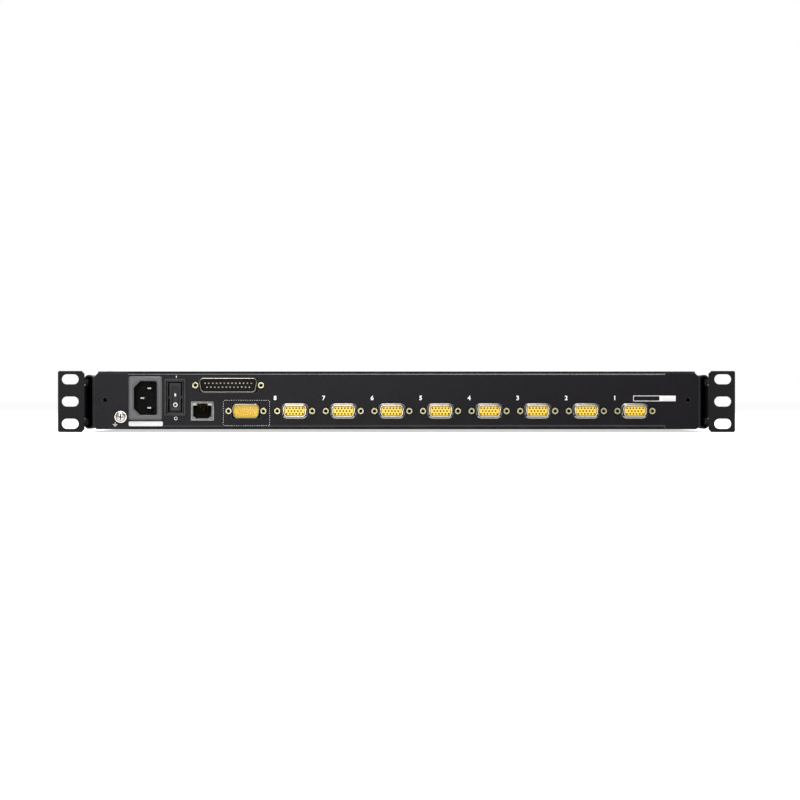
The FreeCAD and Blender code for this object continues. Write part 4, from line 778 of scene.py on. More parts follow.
def holed_insert(port, corner, face):
    """A female insert with its seventeen funnel-mouthed holes, with painted shade inside them."""
    across, up, wide, tall = port
    insert = moulded_insert(across, up, wide - 1.9, tall - 1.8, corner, face, "yellow_plastic")
    tools = [socket_tool(across + x, up + z, face) for x, z in FIFTEEN_HIGH]
    hollowed(insert, joined("socket_tools", tools))
    places = [Vector((across + x, up + z)) for x, z in FIFTEEN_HIGH]

    def in_hole_painted_shade(middle):
        """True inside one of the contact holes, where shade is painted."""
        spot = Vector((middle.x, middle.z))
        return middle.y < PANEL + face - 0.02 and min((spot - place).length for place in places) < 0.6

    return darkened(smooth(insert, 40), in_hole_painted_shade)


def round_pin(across, up, foot, tip, finish_name):
    """A round contact pin with a domed tip."""
    rings = [(foot, circle_ring(across, up, 0.52, 12)), (tip - 0.35, circle_ring(across, up, 0.52, 12))]
    rings += [(tip - 0.1, circle_ring(across, up, 0.42, 12)), (tip, circle_ring(across, up, 0.24, 12))]
    return coated(smooth(loft("round_pin", "y", rings), 50), finish_name)


def hex_jack(across, up):
    """A hexagonal jackscrew: chamfered ends, a countersunk mouth and a threaded bore with painted shade
    inside.
    """
    corners = circle_ring(across, up, 2.425, 6, math.pi / 6)
    outline = []
    for number in range(6):
        here, ahead = Vector(corners[number]), Vector(corners[(number + 1) % 6])
        outline += [tuple(here.lerp(ahead, step / 4)) for step in range(4)]

    def nearer(limit):
        """The hexagon with its corners drawn in to a circle."""
        points = []
        for x, z in outline:
            arm = Vector((x - across, z - up))
            reach = min(arm.length, limit)
            points.append((across + arm.normalized().x * reach, up + arm.normalized().y * reach))
        return points

    def circle(radius):
        """A round outline with as many points as the hexagon."""
        return circle_ring(across, up, radius, 24, math.pi / 6)

    face = PANEL + 5.0
    rings = [(PANEL + 0.02, nearer(2.2)), (PANEL + 0.3, outline), (face - 0.4, outline)]
    rings += [(face - 0.12, nearer(2.24)), (face - 0.01, nearer(2.06))]
    rings += [(face - 0.01, circle(1.4)), (face - 0.25, circle(1.15))]
    for step in range(5):
        deep = face - 0.45 - 0.5 * step
        rings += [(deep, circle(1.17)), (deep - 0.25, circle(1.0))]
    rings.append((face - 3.6, circle(0.98)))
    jack = coated(smooth(loft("hex_jack", "y", rings), 28), "yellow_zinc")
    middle_of = Vector((across, up))
    # Painted shade down the threaded bore.
    return darkened(
        jack,
        lambda middle: middle.y < face - 0.4 and (Vector((middle.x, middle.z)) - middle_of).length < 1.35,
    )


face_deep = 5.2
steps = [(-PORT_PITCH * number, 0, 0) for number in range(1, 8)]

shell = drawn_shell(*FEMALE, 1.4, 2.7, 0.6)
rides(row_of("computer_shells", shell, steps), "case", "computer_port_shells")
insert = holed_insert(FEMALE, 2.2, face_deep)
rides(row_of("computer_inserts", insert, steps), "case", "computer_port_inserts")

console_shell = drawn_shell(*CONSOLE_MALE, 0.35, 2.9, 0.42)
chain_shell = drawn_shell(*CHAIN_MALE, 0.35, 2.7, 0.42)
rides(joined("male_shells", [console_shell, chain_shell]), "case", "male_port_shells")
for name, port, corner, face, finish_name in (
    ("console", CONSOLE_MALE, 2.5, 3.4, "console_yellow"),
    ("chain", CHAIN_MALE, 2.3, 0.9, "port_black"),
):
    across, up, wide, tall = port
    insert = moulded_insert(across, up, wide - 1.1, tall - 1.1, corner, face, finish_name)
    insert.name = f"{name}_insert"
    rides(insert, "case", f"{name}_port_insert")
tip = PANEL + 5.0
pins = [round_pin(CONSOLE + x, LOW_ROW + z, PANEL + 3.2, tip, "gold") for x, z in FIFTEEN_HIGH]
pins += [round_pin(CHAIN + x, CHAIN_ROW + z, PANEL + 0.8, tip, "nickel_shell") for x, z in TWENTY_FIVE]
rides(joined("contact_pins", pins), "case", "port_pins")

jack = hex_jack(PORTS[0] + PORT_SCREWS, LOW_ROW)
spots = [(PORTS[0] - PORT_SCREWS, LOW_ROW)]
spots += [(x + side * PORT_SCREWS, LOW_ROW) for x in PORTS[1:] for side in (-1, 1)]
spots += [(CONSOLE + side * PORT_SCREWS, LOW_ROW) for side in (-1, 1)]
spots += [(CHAIN + side * CHAIN_SCREWS, CHAIN_ROW) for side in (-1, 1)]
jack_steps = [(x - PORTS[0] - PORT_SCREWS, 0, z - LOW_ROW) for x, z in spots]
rides(row_of("hex_jacks", jack, jack_steps), "case", "jackscrews")


# Network jack


def make_network_jack():
    """The jack's folded shield with its springs, the stepped mouth with painted shade on its walls, eight
    contacts and two lights.
    """
    x, z = LAN, LOW_ROW
    front = PANEL + 1.2
    shield = loft(
        "lan_shield_skin",
        "y",
        [
            (PANEL - 6, box_ring(x, z, 16.4, 13.6, 0.5)),
            (front - 0.2, box_ring(x, z, 16.4, 13.6, 0.5)),
            (front, box_ring(x, z, 16.0, 13.2, 0.4)),
            (front, box_ring(x, z, 15.4, 12.6, 0.3)),
            (front - 1.0, box_ring(x, z, 15.4, 12.6, 0.3)),
        ],
        first=False,
        last=False,
    )
    parts = [coated(smooth(shield, 40), "lan_steel")]
    face = front - 0.25
    body = brick("lan_body", (x - 7.7, PANEL - 17, z - 6.3), (x + 7.7, face, z + 6.3))
    low = z - 5.3
    half_low, half_main, half_high = 4.95, 6.65, 3.85
    step, main, high = low + 1.1, low + 9.2, low + 10.6
    outline = [
        (x - half_low, low),
        (x + half_low, low),
        (x + half_low, step),
        (x + half_main, step),
        (x + half_main, main),
        (x + half_high, main),
        (x + half_high, high),
        (x - half_high, high),
        (x - half_high, main),
        (x - half_main, main),
        (x - half_main, step),
        (x - half_low, step),
    ]
    mouth = loft("lan_mouth", "y", [(PANEL - 13, outline), (face + 1, outline)])
    hollowed(coated(body, "lan_steel"), mouth)

    def inside(middle):
        """True on the walls of the mouth, which get painted shade."""
        across = abs(middle.x - x)
        return across < 6.8 and low - 0.1 < middle.z < high + 0.1 and -13.5 < middle.y - PANEL < 0.9

    parts.append(darkened(soften(body, 0.1), inside))
    for number in range(8):
        wire_x = x + (number - 3.5) * 1.02
        bent = [(345.0, high - 0.3), (346.2, high - 0.5), (339.5, step + 2.4), (338.5, step + 2.8)]
        wire = loft("lan_contact", "x", [(wire_x - 0.2, bent), (wire_x + 0.2, bent)])
        parts.append(coated(wire, "gold"))
    for side in (-1, 1):
        across = x + side * 5.45
        lens = brick("lan_light", (across - 1.55, face - 1, main + 0.1), (across + 1.55, face + 0.12, high))
        parts.append(coated(soften(lens, 0.25), "light_lens"))
        edge = x + side * 8.1
        spring = brick("lan_spring", (edge - 0.4, PANEL + 0.05, z - 2.6), (edge + 0.1, PANEL + 1.0, z + 1.2))
        edit(spring, "FACE", lambda c, n, s=side: n.x * s > 0.9)
        bpy.ops.mesh.inset(thickness=0.0003, depth=0.00015)
        leave_edit()
        parts.append(coated(soften(spring, 0.1), "lan_steel"))
    rides(joined("network_jack", parts), "case", "lan_shield", "lan_insert")


make_network_jack()


# Mains inlet and its blades


def spun(outline):
    """An outline started at its point nearest the lower left corner."""
    start = min(range(len(outline)), key=lambda i: outline[i][0] + outline[i][1])
    return outline[start:] + outline[:start]


def grown(outline, middle, by):
    """An outline moved outwards from a middle."""
    points = []
    for across, up in outline:
        right, above = across - middle[0], up - middle[1]
        points.append((across + by * max(-1, min(1, right / 4)), up + by * max(-1, min(1, above / 4))))
    return points


def make_inlet():
    """The inlet's moulded bezel with its keyed mouth, painted shade in the cavity, and three blades."""
    x, z = INLET
    face = PANEL + 2.0
    wide, tall, cut = 8.2, 12.1, 4.6
    key = [
        (x + wide - cut, z - tall),
        (x + wide, z - tall + cut),
        (x + wide, z + tall - cut),
        (x + wide - cut, z + tall),
    ]
    plain = [(x - wide, z + tall), (x - wide, z - tall)]
    rim = spun(box_ring(x, z, 24.2, 31.4, 1.4, 8))
    inner = spun(corner_ring(key + plain, 1.5, 5))
    middle = (x, z)
    rings = [
        (PANEL + 0.01, rim),
        (face - 0.7, rim),
        (face - 0.25, grown(rim, middle, -0.2)),
        (face - 0.02, grown(rim, middle, -0.75)),
        (face - 0.02, grown(inner, middle, 0.55)),
        (face - 0.3, grown(inner, middle, 0.12)),
        (face - 0.9, inner),
        (face - 2.2, inner),
        (face - 16.0, inner),
    ]
    body = coated(smooth(loft("inlet_body", "y", rings, first=False), 35), "inlet_plastic")
    # Painted shade deep in the cavity.
    darkened(body, lambda place: place.y < face - 1.5 and abs(place.x - x) < 8.4 and abs(place.z - z) < 12.3)
    blades = []
    for across, up in ((-2.7, 7.0), (-2.7, -7.0), (2.3, 0.0)):
        tip = PANEL - 1.0
        rings = [
            (PANEL - 14.0, box_ring(x + across, z + up, 4.0, 2.0, 0.3, 2)),
            (tip - 1.2, box_ring(x + across, z + up, 4.0, 2.0, 0.3, 2)),
            (tip, box_ring(x + across, z + up, 2.6, 0.9, 0.2, 2)),
        ]
        blades.append(coated(smooth(loft("inlet_blade", "y", rings), 40), "blade_nickel_painted_shade"))
    rides(body, "case", "power_inlet")
    rides(joined("inlet_contacts", blades), "case", "inlet_blades")


make_inlet()


# Switch


def make_switch():
    """The switch's frame round a well with painted shade in it, and the rocker with its dished face and two
    marks.
    """
    x, z = SWITCH
    face = PANEL + 1.5
    rings = [
        (PANEL + 0.01, box_ring(x, z, 15.9, 26.8, 1.2)),
        (face - 0.5, box_ring(x, z, 15.9, 26.8, 1.2)),
        (face - 0.14, box_ring(x, z, 15.5, 26.4, 1.0)),
        (face - 0.01, box_ring(x, z, 14.7, 25.6, 0.8)),
        (face - 0.01, box_ring(x, z, 13.3, 24.3, 0.5)),
        (face - 1.3, box_ring(x, z, 11.6, 23.0, 0.4)),
        (face - 1.5, box_ring(x, z, 10.4, 22.2, 0.3)),
        (PANEL - 6.5, box_ring(x, z, 10.2, 22.2, 0.3)),
    ]
    bezel = coated(smooth(loft("switch_bezel", "y", rings, first=False), 35), "switch_black")
    # Painted shade deep in the well.
    darkened(bezel, lambda place: place.y < face - 1.6 and abs(place.x - x) < 5.3 and abs(place.z - z) < 11.3)
    rides(bezel, "case", "switch_frame")

    pivot, half = 345.2, 10.6
    outlines = []
    for level, shrink in ((-4.3, 0.35), (-3.9, 0.0), (3.9, 0.0), (4.3, 0.35)):
        outline = [
            (pivot - 1.5, z - half + 1.3 + shrink),
            (pivot + 1.2 - shrink, z - half + shrink * 0.6),
            (pivot + 1.65 - shrink, z - half + 0.5 + shrink),
            (pivot + 1.45 - shrink, z - 6.0),
            (pivot + 1.2 - shrink, z),
            (pivot + 1.45 - shrink, z + 6.0),
            (pivot + 1.65 - shrink, z + half - 0.5 - shrink),
            (pivot + 1.2 - shrink, z + half - shrink * 0.6),
            (pivot - 1.5, z + half - 1.3 - shrink),
            (pivot - 2.9, z),
        ]
        outlines.append((x + level, outline))
    rocker = loft("rocker_cap", "x", outlines)
    floor = pivot + 0.62
    scoop = loft(
        "rocker_scoop",
        "y",
        [
            (pivot + 3.0, box_ring(x, z + 0.2, 5.6, 16.1, 2.7, 8)),
            (pivot + 1.3, box_ring(x, z + 0.2, 5.2, 15.7, 2.5, 8)),
            (floor + 0.2, box_ring(x, z + 0.2, 4.4, 14.9, 2.1, 8)),
            (floor, box_ring(x, z + 0.2, 3.6, 14.1, 1.7, 8)),
        ],
    )
    hollowed(rocker, scoop)
    rocker = coated(soften(rocker, 0.14), "switch_black")
    bar = brick("on_mark", (x - 0.5, floor - 0.02, z + 0.9), (x + 0.5, floor + 0.05, z + 2.9))
    bar = coated(soften(bar, 0.02, 1), "mark_white")
    rings = [
        (floor - 0.02, circle_ring(x, z - 5.3, 1.6, 32)),
        (floor + 0.05, circle_ring(x, z - 5.3, 1.6, 32)),
        (floor + 0.05, circle_ring(x, z - 5.3, 1.0, 32)),
        (floor - 0.02, circle_ring(x, z - 5.3, 1.0, 32)),
    ]
    ring = coated(loft("off_mark", "y", rings, first=False, last=False), "mark_white")
    stubs = []
    for side in (-1, 1):
        levels = ((3.9, 1.2), (7.0, 1.2), (7.1, 1.1))
        rings = [(x + side * reach, circle_ring(pivot, z, size, 16)) for reach, size in levels]
        stubs.append(coated(smooth(loft("rocker_axle", "x", rings)), "black_plastic"))
    whole = joined("rocker_cap", [rocker, bar, ring] + stubs)
    centre = mm(x, pivot, z)
    tip = Matrix.Translation(centre) @ Matrix.Rotation(math.radians(-9), 4, "X") @ Matrix.Translation(-centre)
    whole.data.transform(tip)
    rides(whole, "rocker", "power_rocker")


make_switch()


# Fasteners


def turned_screw(name, spot, facing, head, height, finish_name="zinc_plate", washer=0.0):
    """A domed screw head with a cross recess, on a washer if it has one. Facing is +y, -y, +x, -x or +z."""
    r = head / 2
    rings = [
        (0.0, circle_ring(0, 0, r * 0.98)),
        (height * 0.35, circle_ring(0, 0, r)),
        (height * 0.7, circle_ring(0, 0, r * 0.9)),
        (height * 0.95, circle_ring(0, 0, r * 0.68)),
        (height * 0.98, cross_ring(0, 0, r * 0.56, r * 0.12)),
        (height * 0.45, cross_ring(0, 0, r * 0.42, r * 0.08)),
    ]
    parts = [smooth(loft(name, "z", rings), 35)]
    if washer:
        under = loft(
            f"{name}_washer",
            "z",
            [
                (-0.8, circle_ring(0, 0, washer / 2 - 0.1, 32)),
                (-0.65, circle_ring(0, 0, washer / 2, 32)),
                (-0.15, circle_ring(0, 0, washer / 2, 32)),
                (0.0, circle_ring(0, 0, washer / 2 - 0.15, 32)),
            ],
        )
        parts.append(smooth(under, 30))
    for part in parts:
        coated(part, finish_name)
    screw = joined(name, parts)
    turn = {
        "+z": Matrix.Identity(4),
        "-z": Matrix.Rotation(math.pi, 4, "X"),
        "+y": Matrix.Rotation(-math.pi / 2, 4, "X"),
        "-y": Matrix.Rotation(math.pi / 2, 4, "X"),
        "+x": Matrix.Rotation(math.pi / 2, 4, "Y"),
        "-x": Matrix.Rotation(-math.pi / 2, 4, "Y"),
    }[facing]
    screw.data.transform(Matrix.Translation(mm(*spot)) @ turn)
    return screw


WASHER_FACE = PANEL + 0.8
HEAD_HEIGHT = 2.3
earth = turned_screw("earth_screw", (EARTH[0], WASHER_FACE, EARTH[1]), "+y", 7.5, HEAD_HEIGHT, washer=8.6)


def in_recess_painted_shade(middle):
    """True inside the cross cut in the earth screw's head, where shade is painted."""
    near = math.hypot(middle.x - EARTH[0], middle.z - EARTH[1]) < 2.1
    return near and WASHER_FACE + 0.2 < middle.y < WASHER_FACE + HEAD_HEIGHT * 0.94


darkened(earth, in_recess_painted_shade)
rides(earth, "case", "ground_screw")


def screws_at(name, body, spots, facing, head, height, finish_name="zinc_plate"):
    """The same small screw at several places, as one piece."""
    first = turned_screw(name, spots[0], facing, head, height, finish_name=finish_name)
    base = Vector(spots[0])
    offsets = [tuple(Vector(spot) - base) for spot in spots[1:]]
    return rides(row_of(name, first, offsets), body)


def both_sides(spots):
    """Places on the right, and the same on the left."""
    return [(side * x, y, z) for side in (1, -1) for x, y, z in spots]


# Print on the rear panel


def printed(name, words, spot, tall, finish_name="mark_white", facing="rear", bold=0.07):
    """A short printed mark, in mm: on the rear face, read from behind, or on top, read from the front."""
    bpy.ops.object.select_all(action="DESELECT")
    bpy.ops.object.text_add()
    words_piece = bpy.context.active_object
    words_piece.data.body = words
    words_piece.data.align_x = "CENTER"
    words_piece.data.align_y = "CENTER"
    words_piece.data.size = tall * 0.00139
    words_piece.data.extrude = 0.00001
    words_piece.data.resolution_u = 3
    words_piece.data.offset = bold * 0.001
    alone(words_piece)
    bpy.ops.object.convert(target="MESH")
    piece = named(name)
    turn = Matrix.Identity(4)
    if facing == "rear":
        turn = Matrix.Rotation(math.pi, 4, "Z") @ Matrix.Rotation(math.pi / 2, 4, "X")
    piece.data.transform(Matrix.Translation(mm(*spot)) @ turn)
    return coated(piece, finish_name)


def stripe(name, low, high, finish_name="mark_white"):
    """A printed stripe on the rear face between two corners of x and z."""
    piece = brick(name, (low[0], PANEL - 0.02, low[1]), (high[0], PANEL + 0.03, high[1]))
    return coated(soften(piece, 0.01, 1), finish_name)


def ring_mark(name, across, up, outer, inner, level=PANEL):
    """A printed ring on the rear face."""
    rings = [
        (level - 0.02, circle_ring(across, up, outer, 32)),
        (level + 0.03, circle_ring(across, up, outer, 32)),
        (level + 0.03, circle_ring(across, up, inner, 32)),
        (level - 0.02, circle_ring(across, up, inner, 32)),
    ]
    return coated(loft(name, "y", rings, first=False, last=False), "mark_white")


def plate(name, middle, wide, tall, corner):
    """A bare plate on the rear face with rounded corners and edges."""
    rings = [
        (PANEL - 0.02, box_ring(*middle, wide, tall, corner, 6)),
        (PANEL + 0.05, box_ring(*middle, wide, tall, corner, 6)),
        (PANEL + 0.09, box_ring(*middle, wide - 0.12, tall - 0.12, corner - 0.05, 6)),
    ]
    return coated(smooth(loft(name, "y", rings, first=False), 50), "plate_white")


def make_print():
    """Port numbers, the switch's marks, the earth mark, the dashed outline and two bare plates."""
    marks = []
    for number, x in enumerate(PORTS):
        spot = (x + 14.2, PANEL + 0.02, 24.2)
        marks.append(printed(f"number_{8 - number}", str(8 - number), spot, 3.15, bold=0.11))
    stem = 201.8
    marks.append(stripe("earth_stem", (stem - 0.12, 5.4), (stem + 0.12, 7.1)))
    for step, half in enumerate((1.8, 1.15, 0.5)):
        low = 5.3 - 0.75 * step
        marks.append(stripe(f"earth_bar_{step}", (stem - half, low), (stem + half, low + 0.26)))
    marks.append(stripe("on_tick", (157.65, 38.8), (158.15, 40.3)))
    marks.append(ring_mark("off_ring", 158.3, 9.7, 1.2, 0.85))
    left, right, low, high = 91.0, 124.2, 4.5, 22.7
    dash, half, indent = 0.8, 0.1, 0.4
    for step in range(20):
        start = left + indent + step * 1.65
        for level in (low, high):
            marks.append(stripe(f"dash_{len(marks)}", (start, level - half), (start + dash, level + half)))
    for step in range(11):
        start = low + indent + step * 1.63
        for level in (left, right):
            marks.append(stripe(f"dash_{len(marks)}", (level - half, start), (level + half, start + dash)))
    low, high, open_end, filled_end, line = 22.0, 26.0, -169.8, -188.5, 0.35
    marks.append(stripe("label_top", (filled_end, high - line), (open_end, high)))
    marks.append(stripe("label_bottom", (filled_end, low), (open_end, low + line)))
    marks.append(stripe("label_side", (open_end - line, low + line), (open_end, high - line)))
    rides(joined("printed_marks", marks), "case")

    plates = [
        plate("rating_plate", (179.8, 5.9), 24.5, 3.6, 1.2),
        plate("port_plate", (-194.35, 24.0), 11.7, 4.0, 0.15),
    ]
    rides(joined("bare_plates", plates), "case")


make_print()


# Balls and their cages


def make_balls():
    """True balls in their cages, in place of the faceted ones."""
    for node_name, body in (("ball_cages_outer", "outer_cages"), ("ball_cages_inner", "inner_cages")):
        cages = twin_of(node_name, f"{node_name}_steel")
        edit(cages, "FACE")
        bpy.ops.mesh.separate(type="LOOSE")
        leave_edit()
        parts = []
        for piece in list(bpy.context.selected_objects):
            corners = [corner.co * 1000 for corner in piece.data.vertices]
            low = Vector([min(corner[axis] for corner in corners) for axis in range(3)])
            high = Vector([max(corner[axis] for corner in corners) for axis in range(3)])
            size = high - low
            if max(size) > 4:
                parts.append(coated(soften(piece, 0.12, 1), "rail_steel"))
                continue
            bpy.data.objects.remove(piece)
            bpy.ops.object.select_all(action="DESELECT")
            bpy.ops.mesh.primitive_uv_sphere_add(
                segments=20, ring_count=12, radius=max(size) / 2000, location=(low + high) / 2000
            )
            parts.append(coated(smooth(settle(named("ball")), 180), "ball_steel"))
        rides(joined(f"{node_name}_steel", parts), body, node_name)


make_balls()


# Keyboard


def dished_caps(node_name, body, name):
    """Key caps with rounded edges and a shallow dish on top, from the row's own blocks."""
    cap = twin_of(node_name, name)
    soften(cap, 0.7, 3)
    edit(cap, "FACE", lambda c, n: n.z > 0.98)
    bpy.ops.mesh.inset(thickness=0.0014, depth=-0.00025, use_individual=True)
    bpy.ops.mesh.inset(thickness=0.0018, depth=-0.00018, use_individual=True)
    leave_edit()
    coated(smooth(cap, 45), "key_plastic")
    return rides(cap, body, node_name)


for key_row in (
    "space_bar",
    "bottom_keys",
    "lower_keys",
    "home_keys",
    "upper_keys",
    "number_keys",
    "function_keys",
    "keypad_keys",
):
    dished_caps(key_row, f"{key_row}_row", f"{key_row}_caps")


# Key legends, in key pitches from the left of each block and by row from the front

PITCH = 19.05
KEYS_LEFT, KEYS_FRONT = -185.475, -188.1
KEYPAD_LEFT = 109.275
DISH = 22.39
LEGENDS = (
    ("lower_keys_row", KEYS_LEFT + 2.25 * PITCH, 1, "ZXCVBNM,./"),
    ("home_keys_row", KEYS_LEFT + 1.75 * PITCH, 2, "ASDFGHJKL;'"),
    ("upper_keys_row", KEYS_LEFT + 1.5 * PITCH, 3, "QWERTYUIOP[]"),
    ("number_keys_row", KEYS_LEFT, 4, "`1234567890-="),
    ("keypad_keys_row", KEYPAD_LEFT + 2 * PITCH, 0, "."),
    ("keypad_keys_row", KEYPAD_LEFT, 1, "123"),
    ("keypad_keys_row", KEYPAD_LEFT, 2, "456"),
    ("keypad_keys_row", KEYPAD_LEFT, 3, "789"),
    ("keypad_keys_row", KEYPAD_LEFT + PITCH, 4, "/*-"),
)


def make_legends():
    """A plain letter or digit in each cap's dish, as one piece to a row."""
    rows = {}
    for body, left, row, signs in LEGENDS:
        for number, sign in enumerate(signs):
            spot = (left + (number + 0.5) * PITCH - 1.3, KEYS_FRONT + (row + 0.5) * PITCH + 1.2, DISH)
            mark = printed(f"legend_{body}_{number}", sign, spot, 3.6, facing="top", bold=0.05)
            rows.setdefault(body, []).append(mark)
    zero = (KEYPAD_LEFT + PITCH - 1.3, KEYS_FRONT + PITCH / 2 + 1.2, DISH)
    rows["keypad_keys_row"].append(printed("legend_zero", "0", zero, 3.6, facing="top", bold=0.05))
    for body, marks in rows.items():
        rides(joined(f"{body}_legends", marks), body)


make_legends()


# Small parts of the case, the drawer and the lid

COVER_TOP = 43.4
CASE_UNDER = 1.9
EAR_ARM = 219.0
CHANNEL_WEB = 218.2
TRAY_WALL = 203.4
DECK_TOP = 18.6
BEZEL_FACE = 24.8


def disc(name, spot, across, thick, finish_name):
    """A round pad that hangs down from a place, with a rounded edge."""
    x, y, z = spot
    levels = ((0.1, 0.0), (0.3 - thick, 0.0), (0.08 - thick, 0.12), (-thick, 0.35))
    rings = [(z + level, circle_ring(x, y, across / 2 - inset, 20)) for level, inset in levels]
    return coated(smooth(loft(name, "z", rings), 40), finish_name)


def make_case_screws():
    """Flush screws in the cover and the underside, and the screws of ears, channels and bulkhead."""
    cover = both_sides([(206, 62, COVER_TOP), (206, 200, COVER_TOP), (206, 337, COVER_TOP)])
    screws_at("cover_screws", "case", cover, "+z", 5.2, 0.18, "black_screw")
    under = [(x, y, CASE_UNDER) for x in (-200, 44) for y in (148.8, 312.8)]
    under += [(x, y, CASE_UNDER) for x in (124, 192) for y in (158, 310)]
    under += both_sides([(212, y, CASE_UNDER) for y in (-300, -160, -20)])
    screws_at("underside_screws", "case", under, "-z", 5.2, 0.18, "black_screw")
    bulkhead = both_sides([(196, 51, 11), (196, 51, 34), (60, 51, 34)])
    screws_at("bulkhead_screws", "case", bulkhead, "-y", 4.6, 0.9, "black_screw")
    for side, facing, word in ((1, "+x", "right"), (-1, "-x", "left")):
        ear = [(side * EAR_ARM, y, z) for y in (-318, -299) for z in (12.5, 30.5)]
        screws_at(f"ear_screws_{word}", "case", ear, facing, 5.6, 1.3, "black_screw")
        channel = [(side * CHANNEL_WEB, y, 21.6) for y in (-262, -150, -40, 70, 180, 290)]
        screws_at(f"channel_screws_{word}", "case", channel, facing, 5.0, 1.0, "black_screw")
        tray = [(side * TRAY_WALL, y, 21.7) for y in (-305, -190, -70, 20)]
        inward = "-x" if side > 0 else "+x"
        screws_at(f"tray_screws_{word}", "drawer", tray, inward, 3.8, 0.7)


make_case_screws()


def make_ear_corners():
    """The small corners of the rear ears beside the neck that joins each to its arm."""
    for side, word in ((1, "right"), (-1, "left")):
        near, far = sorted((side * 221.2, side * 224.9))
        corners = []
        for low, high in ((33.9, 36.5), (6.8, 9.4)):
            corner = brick("ear_corner", (near, 361.5, low), (far, 363.6, high))
            corners.append(coated(soften(corner, 0.4), "ear_paint"))
        rides(joined(f"ear_corners_{word}", corners), f"bracket_{word}")


make_ear_corners()


def make_drawer_details():
    """The deck's three lights with their marks, its screws, and the ribs of the catches."""
    lights = []
    for number, sign in enumerate(("1", "A", "#")):
        x = 130 + 17 * number
        lens = brick("deck_light", (x - 2.5, -61.2, DECK_TOP - 0.3), (x + 2.5, -59.2, DECK_TOP + 0.25))
        lights.append(coated(soften(lens, 0.3), "light_lens"))
        spot = (x, -55.5, DECK_TOP + 0.01)
        lights.append(printed("deck_light_mark", sign, spot, 3.0, facing="top", bold=0.05))
    rides(joined("deck_lights", lights), "drawer")
    deck = both_sides([(193, -316, DECK_TOP), (193, -140, DECK_TOP), (193, 8, DECK_TOP)])
    screws_at("deck_screws", "drawer", deck, "+z", 5.0, 0.5, "black_screw")
    for side, word in ((1, "right"), (-1, "left")):
        ribs = []
        low, high = sorted((side * 207.1, side * 213.9))
        for step in range(5):
            z = 19.7 + step * 2.2
            rib = brick("catch_rib", (low, -351.65, z), (high, -351.1, z + 1.0))
            ribs.append(coated(soften(rib, 0.25), "inlet_plastic"))
        rides(joined(f"catch_ribs_{word}", ribs), f"release_{word}")


make_drawer_details()


def make_lid_details():
    """The bezel's rubber stops and light, and the ribs of the latch."""
    spots = both_sides([(195.6, -318, BEZEL_FACE), (195.6, -165, BEZEL_FACE), (195.6, -4, BEZEL_FACE)])
    stops = [disc("lid_stop", spot, 7.0, 1.1, "rubber") for spot in spots]
    rides(joined("lid_stops", stops), "lid")
    lens = brick("lid_light", (40.5, 0.9, BEZEL_FACE - 0.35), (44.5, 3.1, BEZEL_FACE + 0.2))
    rides(coated(soften(lens, 0.3), "light_lens"), "lid")
    ribs = []
    for step in range(7):
        x = -10.6 + step * 3.3
        rib = brick("latch_rib", (x, -350.5, 31.3), (x + 1.4, -349.9, 36.5))
        ribs.append(coated(soften(rib, 0.25), "inlet_plastic"))
    rides(joined("latch_ribs", ribs), "latch")


make_lid_details()


def make_board():
    """The switch board with its chips and posts in finishes of their own."""
    board = coated(twin_of("main_board", "switch_board"), "board_green")
    low, high = 7.1, 8.7
    darkened(board, lambda middle: middle.z > high + 0.05, "black_plastic")
    darkened(board, lambda middle: middle.z < low - 0.05, "zinc_plate")
    soften(board, 0.1, 1)
    rides(board, "case", "main_board")


make_board()


# Light, floor and camera


def seen_by(tree, first, second):
    """1 for two kinds of ray and 0 for the others."""
    path = tree.nodes.new("ShaderNodeLightPath")
    either = tree.nodes.new("ShaderNodeMath")
    either.operation = "MAXIMUM"
    tree.links.new(path.outputs[first], either.inputs[0])
    tree.links.new(path.outputs[second], either.inputs[1])
    return either.outputs["Value"]


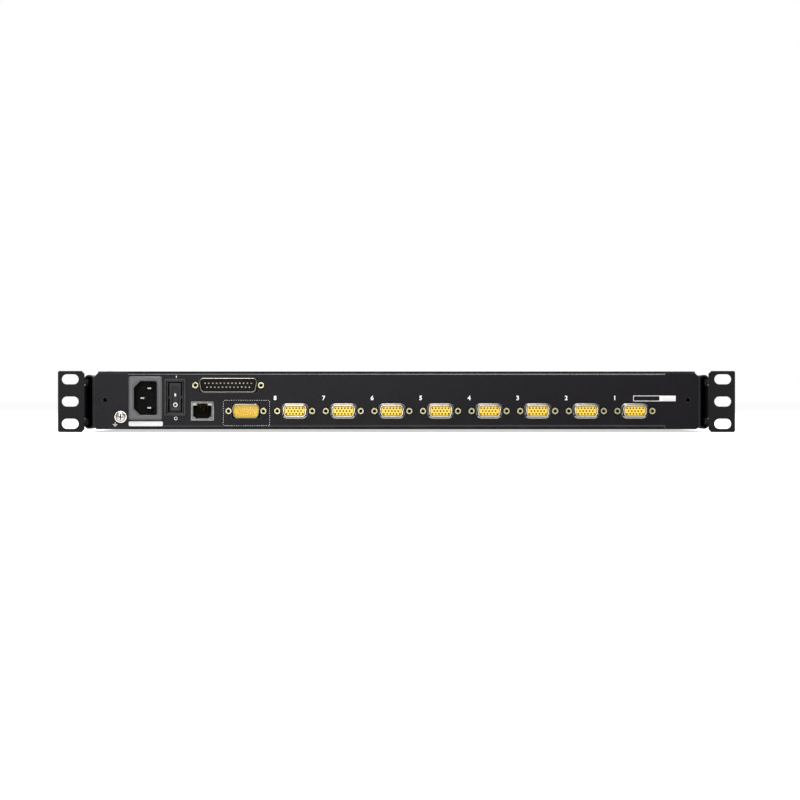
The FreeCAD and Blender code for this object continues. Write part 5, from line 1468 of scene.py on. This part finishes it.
def make_stage():
    """A pale floor that keeps the shadow, a white surround and soft lamps."""
    bpy.ops.object.select_all(action="DESELECT")
    bpy.ops.mesh.primitive_plane_add(size=60, location=(0, 0, -0.0002))
    floor = named("floor")
    ground = bpy.data.materials.new("pale_floor")
    ground.use_nodes = True
    tree = ground.node_tree
    shader = tree.nodes["Principled BSDF"]
    shader.inputs["Base Color"].default_value = (0.86, 0.86, 0.86, 1)
    shader.inputs["Roughness"].default_value = 0.9
    shader.inputs["Specular IOR Level"].default_value = 0.1
    glow = tree.nodes.new("ShaderNodeEmission")
    glow.inputs["Color"].default_value = (1, 1, 1, 1)
    share = tree.nodes.new("ShaderNodeMath")
    share.operation = "MULTIPLY"
    share.inputs[1].default_value = 0.6
    tree.links.new(seen_by(tree, "Is Camera Ray", "Is Glossy Ray"), share.inputs[0])
    tree.links.new(share.outputs["Value"], glow.inputs["Strength"])
    both = tree.nodes.new("ShaderNodeAddShader")
    output = tree.nodes["Material Output"]
    tree.links.new(shader.outputs["BSDF"], both.inputs[0])
    tree.links.new(glow.outputs["Emission"], both.inputs[1])
    tree.links.new(both.outputs["Shader"], output.inputs["Surface"])
    floor.data.materials.append(ground)

    world = bpy.data.worlds.new("surround")
    bpy.context.scene.world = world
    world.use_nodes = True
    tree = world.node_tree
    sky = tree.nodes["Background"]
    strength = tree.nodes.new("ShaderNodeMapRange")
    strength.inputs["To Min"].default_value = 0.42
    strength.inputs["To Max"].default_value = 1.0
    tree.links.new(seen_by(tree, "Is Camera Ray", "Is Transmission Ray"), strength.inputs["Value"])
    tree.links.new(strength.outputs["Result"], sky.inputs["Strength"])
    sky.inputs["Color"].default_value = (1, 1, 1, 1)

    for name, spot, wide, watts in (
        ("lamp_over_rear", (0.35, 1.7, 1.7), 1.0, 34),
        ("lamp_side_rear", (0.32, 2.7, 0.26), 0.5, 15),
        ("lamp_front", (-0.8, -2.2, 1.8), 1.6, 34),
        ("lamp_over", (0.4, 0.0, 2.6), 1.4, 26),
    ):
        light = bpy.data.lights.new(name, "AREA")
        light.size = wide
        light.energy = watts
        lamp = bpy.data.objects.new(name, light)
        bpy.context.scene.collection.objects.link(lamp)
        lamp.location = spot
        lamp.rotation_mode = "QUATERNION"
        lamp.rotation_quaternion = (Vector((0, 0, 0.02)) - Vector(spot)).to_track_quat("-Z", "Y")

    eye = bpy.data.cameras.new("photo_camera")
    camera = bpy.data.objects.new("photo_camera", eye)
    bpy.context.scene.collection.objects.link(camera)
    camera.location = (-0.0025, 2.85, 0.0229)
    camera.rotation_euler = (math.pi / 2, 0, math.pi)
    eye.lens = 157.0
    eye.sensor_width = 36.0
    eye.clip_start = 0.1
    eye.clip_end = 200.0
    bpy.context.scene.camera = camera


make_stage()
bpy.context.scene.view_settings.view_transform = "Standard"
